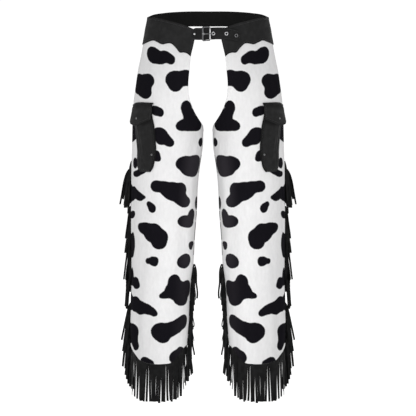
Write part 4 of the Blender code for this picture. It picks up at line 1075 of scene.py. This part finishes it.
# hem strands hang straight, lean out a little and turn about their own length; tufts part at the gaps
# by half a gap's width, less and less with the distance
def hemFringe(name, side):
    draw = np.random.default_rng(*fringe["hemDraw"])
    angles = hemAngles(500)
    run = runLength(hemLine(angles, 0.0)[:, None] * (1, 1, 0), 0)[:, 0]
    count = int(run[-1] / fringe["hemPitch"])
    place = (np.arange(count) + 0.5) * run[-1] / count
    angle = np.interp(place, run, angles)
    root = hemLine(angle, fringe["hemOverlap"])
    away = levelOut(angle, root[:, 2])[:, None]
    along = np.cross(upward, away)
    share = np.linspace(0, 1, fringe["stations"])[None, :]
    tip = curveOf(fringe["hem"], angle) + draw.uniform(*fringe["hemTipBy"], count)
    drop = fringe["hemStrip"] + fringe["hemOverlap"] - fringe["hemTuck"]
    fall = (root[:, 2] - drop - tip)[:, None]
    wave = waveOf(draw, share, fringe["hemWave"], fringe["hemPace"], count)
    lean = draw.uniform(*fringe["leanBy"], count)[:, None] * share**1.3 + wave * share
    spread = fringe["hemSpread"] * ease(angle, 118, 171) - fringe["hemSpread"] * ease(angle, 22, -12)
    gapAngle, gapWidth = np.array(fringe["hemGaps"]).T
    beyond = place[:, None] - np.interp(gapAngle, angles, run)
    parted = (np.sign(beyond) * gapWidth / 2 * np.exp(-np.abs(beyond) / fringe["gapReach"])).sum(1)[:, None]
    sway = (parted + wave + fringe["hemWave"] * draw.uniform(-1, 1, count)[:, None]) * share
    sway = sway + spread[:, None] * share**0.4
    lines = root[:, None] - upward * drop + away * lean[..., None] + along * sway[..., None]
    lines = lines - upward * (fall * share)[..., None]
    twist = twistOf(draw, count, share, "hemTwist")
    width = (draw.uniform(*fringe["hemWidthBy"], count) + 0.14 * ease(angle, 112, 140))[:, None]
    width = fringe["wide"] * (1 - 0.08 * share) * width
    edge = hemAngles(160)
    top = hemLine(edge, fringe["hemOverlap"])
    thick = levelOut(edge, curveOf(plush["hem"], edge)) * -fringe["thick"] / 2
    strip = barsOf(top, top - upward * (fringe["hemStrip"] + fringe["hemOverlap"]), thick)
    return fringePiece(name, strandsOf(lines, width, along, away, twist), strip, side)


fringes = {}
for side, word in sides:
    for kind in ("outer", "inner"):
        fringes[f"{word}_{kind}_fringe"] = seamFringe(f"{word}.{kind}.fringe", leg[f"{kind}Seam"], kind, side)
    fringes[f"{word}_hem_fringe"] = hemFringe(f"{word}.hem.fringe", side)
print("fringes", {n: len(p.data.polygons) for n, p in fringes.items()})


def newGroup(name, inputs, outputs):
    group = bpy.data.node_groups.new(name, "ShaderNodeTree")
    for socket, value in inputs.items():
        made = group.interface.new_socket(socket, in_out="INPUT", socket_type="NodeSocketFloat")
        made.default_value = value
    for socket in outputs:
        group.interface.new_socket(socket, in_out="OUTPUT", socket_type="NodeSocketFloat")
    return group, group.nodes.new("NodeGroupInput"), group.nodes.new("NodeGroupOutput")


# values or links for a node's inputs, by name or number
def fill(tree, made, inputs):
    for key, value in inputs.items():
        if isinstance(value, bpy.types.NodeSocket):
            tree.links.new(value, made.inputs[key])
        else:
            made.inputs[key].default_value = value


# one node with its settings and inputs
def node(tree, kind, inputs=None, **settings):
    made = tree.nodes.new(kind)
    for key, value in settings.items():
        setattr(made, key, value)
    fill(tree, made, inputs or {})
    return made


def maths(tree, operation, a, b):
    return node(tree, "ShaderNodeMath", {0: a, 1: b}, operation=operation).outputs[0]


# sum of values, each times its own weight
def weighed(tree, *pairs):
    total = None
    for value, weight in pairs:
        part = maths(tree, "MULTIPLY", value, weight)
        total = part if total is None else maths(tree, "ADD", total, part)
    return total


# the place on the object, stretched by a scale where one is given
def objectSpot(tree, scale=None):
    spot = node(tree, "ShaderNodeTexCoord").outputs["Object"]
    return node(tree, "ShaderNodeMapping", {"Vector": spot, "Scale": scale}).outputs[0] if scale else spot


def attributeOf(tree, name):
    return node(tree, "ShaderNodeAttribute", attribute_name=name).outputs["Fac"]


def noise(tree, scale, detail=2.0, where=None):
    inputs = {"Vector": where or objectSpot(tree), "Scale": scale, "Detail": detail}
    return node(tree, "ShaderNodeTexNoise", inputs).outputs["Fac"]


def ramp(tree, value, low, high, toLow=0.0, toHigh=1.0):
    inputs = {"Value": value, "From Min": low, "From Max": high, "To Min": toLow, "To Max": toHigh}
    return node(tree, "ShaderNodeMapRange", inputs).outputs["Result"]


# settings come before inputs, because the data type decides which inputs are used: 6 and 7 for colours
def blendColour(tree, share, a, b, mode="MIX"):
    return node(tree, "ShaderNodeMix", {0: share, 6: a, 7: b}, data_type="RGBA", blend_type=mode).outputs[2]


def bumped(tree, height, strength, distance):
    inputs = {"Height": height, "Strength": strength, "Distance": distance}
    return node(tree, "ShaderNodeBump", inputs).outputs[0]


# short pile: tufts from a fine noise, brushed streaks from a stretched one, as a height and a shade
def pileGroup():
    group, into, out = newGroup("short pile", {"Tufts": 900.0, "Streaks": 150.0}, ("Height", "Shade"))
    tall = objectSpot(group, (1.0, 1.0, 0.42))
    tufts = noise(group, into.outputs["Tufts"], 2.0, tall)
    streaks = noise(group, into.outputs["Streaks"], 3.0, tall)
    shade = maths(group, "ADD", weighed(group, (tufts, 0.10), (streaks, 0.16)), 0.87)
    fill(group, out, {"Height": weighed(group, (tufts, 0.6), (streaks, 0.4)), "Shade": shade})
    return group


# pebbled grain: a rounded cell pattern with fine pores, broken by slow wrinkles
def grainGroup():
    group, into, out = newGroup("pebbled grain", {"Cells": 850.0, "Wrinkles": 60.0}, ("Height", "Wear"))
    spot = objectSpot(group)
    inputs = {"Vector": spot, "Scale": into.outputs["Cells"]}
    cells = node(group, "ShaderNodeTexVoronoi", inputs, feature="SMOOTH_F1")
    wrinkles = noise(group, into.outputs["Wrinkles"], 4.0, spot)
    pores = noise(group, 2600.0, 1.0, spot)
    height = weighed(group, (cells.outputs["Distance"], -0.6), (wrinkles, 0.9), (pores, 0.15))
    fill(group, out, {"Height": height, "Wear": ramp(group, wrinkles, 0.42, 0.72)})
    return group


pile, grain = pileGroup(), grainGroup()


def newMaterial(name):
    made = bpy.data.materials.new(name)
    made.use_nodes = True
    return made, made.node_tree, made.node_tree.nodes["Principled BSDF"]


plushFinish = {
    "white": (0.730, 0.727, 0.730, 1), "black": (0.0042, 0.0038, 0.0055, 1),
    # the third colour on the next line is the black lightened by the painted sheen on the inner side of the leg
    "tips": (0.0125, 0.0115, 0.0150, 1), "paintedSheen": (0.0250, 0.0225, 0.0270, 1), "knit": (0.62, 0.62, 0.61, 1),
    "furryEdge": 1.2, "softEdge": 0.8,
    "rough": 0.95, "shine": 0.03, "nap": (0.55, 0.0011),
}


def plushMaterial():
    made, tree, shader = newMaterial("short-pile plush")
    tufts = node(tree, "ShaderNodeGroup", node_tree=pile).outputs
    ragged = weighed(tree, (noise(tree, 420.0, 3.0), 1.0), (noise(tree, 120.0, 2.0), 0.9))
    ragged = maths(tree, "MULTIPLY", maths(tree, "SUBTRACT", ragged, 0.95), plushFinish["furryEdge"] * 1.6)
    moved = maths(tree, "ADD", attributeOf(tree, "patch"), ragged)
    mask = ramp(tree, moved, plushFinish["softEdge"], -plushFinish["softEdge"])
    blotch = ramp(tree, noise(tree, 22.0, 2.0), 0.3, 0.7, 0.965, 1.0)
    shade = maths(tree, "MULTIPLY", tufts["Shade"], blotch)
    white = blendColour(tree, 1.0, plushFinish["white"], shade, "MULTIPLY")
    height = maths(tree, "MULTIPLY", tufts["Height"], 0.55)
    black = blendColour(tree, height, plushFinish["black"], plushFinish["tips"])
    # painted sheen: the black is lightened on the inner side of the leg, where the mask says
    black = blendColour(tree, attributeOf(tree, "paintedSheen"), black, plushFinish["paintedSheen"])
    face = blendColour(tree, mask, white, black)
    fill(tree, shader, {
        "Base Color": blendColour(tree, attributeOf(tree, "outside"), plushFinish["knit"], face),
        "Normal": bumped(tree, tufts["Height"], *plushFinish["nap"]),
        "Roughness": plushFinish["rough"], "Specular IOR Level": plushFinish["shine"],
    })
    return made


# dark and worn colour, roughness, cells to a metre, depth of the grain
leatherFinish = {
    "trim": ((0.0108, 0.0108, 0.0110, 1), (0.0152, 0.0152, 0.0155, 1), 0.55, 850.0, 0.00022),
    "pocket": ((0.0100, 0.0100, 0.0102, 1), (0.0143, 0.0143, 0.0146, 1), 0.53, 780.0, 0.00024),
    "strand": ((0.0028, 0.0028, 0.0030, 1), (0.0078, 0.0078, 0.0082, 1), 0.56, 1100.0, 0.00012),
    "shadedLining": (0.0045, 0.0045, 0.0045, 1), "shade": (0.0025, 0.0025, 0.0026, 1), "shine": 0.13,
}


def leatherMaterial(name, kind):
    dark, worn, rough, cells, depth = leatherFinish[kind]
    made, tree, shader = newMaterial(name)
    skin = node(tree, "ShaderNodeGroup", {"Cells": cells, "Wrinkles": 75.0}, node_tree=grain).outputs
    colour = blendColour(tree, skin["Wear"], dark, worn)
    if kind != "strand":
        # the inner face: the leather's dark back, darkened further as painted shade for the inside of the waist
        colour = blendColour(tree, attributeOf(tree, "outside"), leatherFinish["shadedLining"], colour)
        # darker by the shade attribute: painted shade in the pocket's gusset, under the flap and in the
        # eyelets' dimples; a darker tone at the flap's outer end and on the belt
        colour = blendColour(tree, attributeOf(tree, "shade"), colour, leatherFinish["shade"])
    fill(tree, shader, {
        "Base Color": colour, "Roughness": ramp(tree, skin["Wear"], 0, 1, rough + 0.07, rough - 0.06),
        "Normal": bumped(tree, skin["Height"], 0.8, depth), "Specular IOR Level": leatherFinish["shine"],
    })
    return made


# tarnished in patches and scratched along z; a second, bright colour is a painted highlight where the piece
# marks its shine
def metalMaterial(name, colour, rough, bright=None):
    made, tree, shader = newMaterial(name)
    scratches = noise(tree, 2400.0, 3.0, objectSpot(tree, (1, 1, 0.2)))
    tarnished = tuple(c * 0.55 for c in colour[:3]) + (1,)
    base = blendColour(tree, ramp(tree, noise(tree, 240.0, 3.0), 0.4, 0.75), colour, tarnished)
    if bright:
        base = blendColour(tree, attributeOf(tree, "shine"), base, bright)
    fill(tree, shader, {
        "Base Color": base, "Roughness": ramp(tree, scratches, 0.3, 0.8, rough, rough + 0.22),
        "Normal": bumped(tree, scratches, 0.12, 0.00005), "Metallic": 1.0,
    })
    return made


def threadMaterial():
    made, tree, shader = newMaterial("bonded thread")
    inputs = {"Vector": objectSpot(tree), "Scale": 900.0, "Distortion": 1.0}
    twisted = node(tree, "ShaderNodeTexWave", inputs).outputs["Fac"]
    fill(tree, shader, {
        "Base Color": blendColour(tree, twisted, (0.014, 0.014, 0.015, 1), (0.045, 0.045, 0.047, 1)),
        "Normal": bumped(tree, twisted, 0.5, 0.0001), "Roughness": 0.45,
    })
    return made


finishes = {
    "plush": plushMaterial(),
    "trim": leatherMaterial("grained trim leather", "trim"),
    "pocket": leatherMaterial("grained pocket leather", "pocket"),
    "strand": leatherMaterial("cut strand leather", "strand"),
    "metal": metalMaterial("nickel plate", (0.62, 0.62, 0.63, 1), 0.16),
    "darkMetal": metalMaterial("dark nickel plate", (0.19, 0.19, 0.195, 1), 0.30),
    "frame": metalMaterial(
        "dark frame with painted highlight on roller", (0.12, 0.12, 0.125, 1), 0.26, (0.55, 0.55, 0.56, 1)),
    "thread": threadMaterial(),
}
# pieces whose finish isn't that of their group; the third eyelet, alike to the other two, gets the dark metal
# as painted shade
ownFinish = {"buckle_frame": "frame", "eyelet_3": "darkMetal", "buckle_prong": "darkMetal"}
for _, word in sides:
    ownFinish.update({f"{word}_flap_snap": "darkMetal", f"{word}_pocket_rivet": "darkMetal",
                      f"{word}_pocket": "pocket", f"{word}_pocket_flap": "pocket"})
for made, slot, finish in ((panels, "plush", "plush"), (leathers, "trim", "trim"),
                           (fringes, "fringe", "strand"), (metals, "metal", "metal")):
    for key, piece in made.items():
        piece.data.materials.append(finishes[ownFinish.get(key, finish)])
        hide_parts(key)
        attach(piece, "root")
for piece in stitches.values():
    piece.data.materials.append(finishes["thread"])
    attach(piece, "root")
print("finishes", len(finishes))

studio = {
    "sky": 0.345, "floorZ": -1.03, "floorColour": (0.90, 0.90, 0.90, 1), "floorGlow": 0.76, "floorHalf": 60,
    "lampsAim": (0, 0, -0.45),
    # name, place, width, height, power
    "lamps": (
        ("front", (0.0, -2.7, 1.1), 1.4, 1.4, 18.0), ("left", (-3.4, -3.4, 0.6), 1.8, 1.8, 8.0),
        ("back", (0.6, 4.4, 1.8), 2.4, 2.4, 30.0), ("between", (0.0, -0.34, -0.56), 0.10, 0.72, 0.34),
        ("left hip", (-0.80, -0.70, 0.10), 0.3, 0.3, 1.05), ("right hip", (0.80, -0.70, 0.10), 0.3, 0.3, 1.05),
    ),
    # camera: distance, height of its aim, degrees up, metres across the picture and how far before the
    # origin that width is meant, sensor in mm
    "distance": 40.0, "aimZ": -0.4677, "lift": 4, "across": 416 * 0.00263, "ahead": 0.09, "sensor": 36,
}


def buildStudio():
    world = bpy.data.worlds.new("studio")
    world.use_nodes = True
    sky = {"Color": (1, 1, 1, 1), "Strength": studio["sky"]}
    fill(world.node_tree, world.node_tree.nodes["Background"], sky)
    bpy.context.scene.world = world
    for name, place, width, height, power in studio["lamps"]:
        lamp = bpy.data.lights.new(name, "AREA")
        lamp.shape = "RECTANGLE"
        lamp.size, lamp.size_y, lamp.energy = width, height, power
        holder = placed(name, lamp)
        holder.location = place
        holder.visible_camera = False
        x, y, z = np.array(studio["lampsAim"]) - np.array(place)
        holder.rotation_euler = (math.atan2(math.hypot(x, y), -z), 0, math.atan2(y, x) - math.pi / 2)
    corners = np.array([(-1, -1, 0), (1, -1, 0), (1, 1, 0), (-1, 1, 0)], float) * studio["floorHalf"]
    floor = meshOf("floor", corners + (0, 0, studio["floorZ"]), [np.array([[0, 1, 2, 3]])])
    made, tree, shader = newMaterial("pale floor")
    mottle = ramp(tree, noise(tree, 3.0, 3.0), 0.3, 0.7, 0.985, 1.0)
    fill(tree, shader, {
        "Base Color": blendColour(tree, 1.0, studio["floorColour"], mottle, "MULTIPLY"),
        "Roughness": 1.0, "Specular IOR Level": 0.0,
        "Emission Color": (1, 1, 1, 1), "Emission Strength": studio["floorGlow"],
    })
    floor.data.materials.append(made)


def placeCamera():
    lift = math.radians(studio["lift"])
    back = np.array((0, -math.cos(lift), math.sin(lift)))
    data = bpy.data.cameras.new("camera")
    data.sensor_width = studio["sensor"]
    data.lens = studio["sensor"] * (studio["distance"] - studio["ahead"]) / studio["across"]
    data.clip_end = 200
    holder = placed("camera", data)
    holder.location = np.array((0, 0, studio["aimZ"])) + back * studio["distance"]
    holder.rotation_euler = (math.pi / 2 - lift, 0, 0)
    bpy.context.scene.camera = holder


buildStudio()
placeCamera()
bpy.context.scene.view_settings.view_transform = "Standard"
print("studio ready")
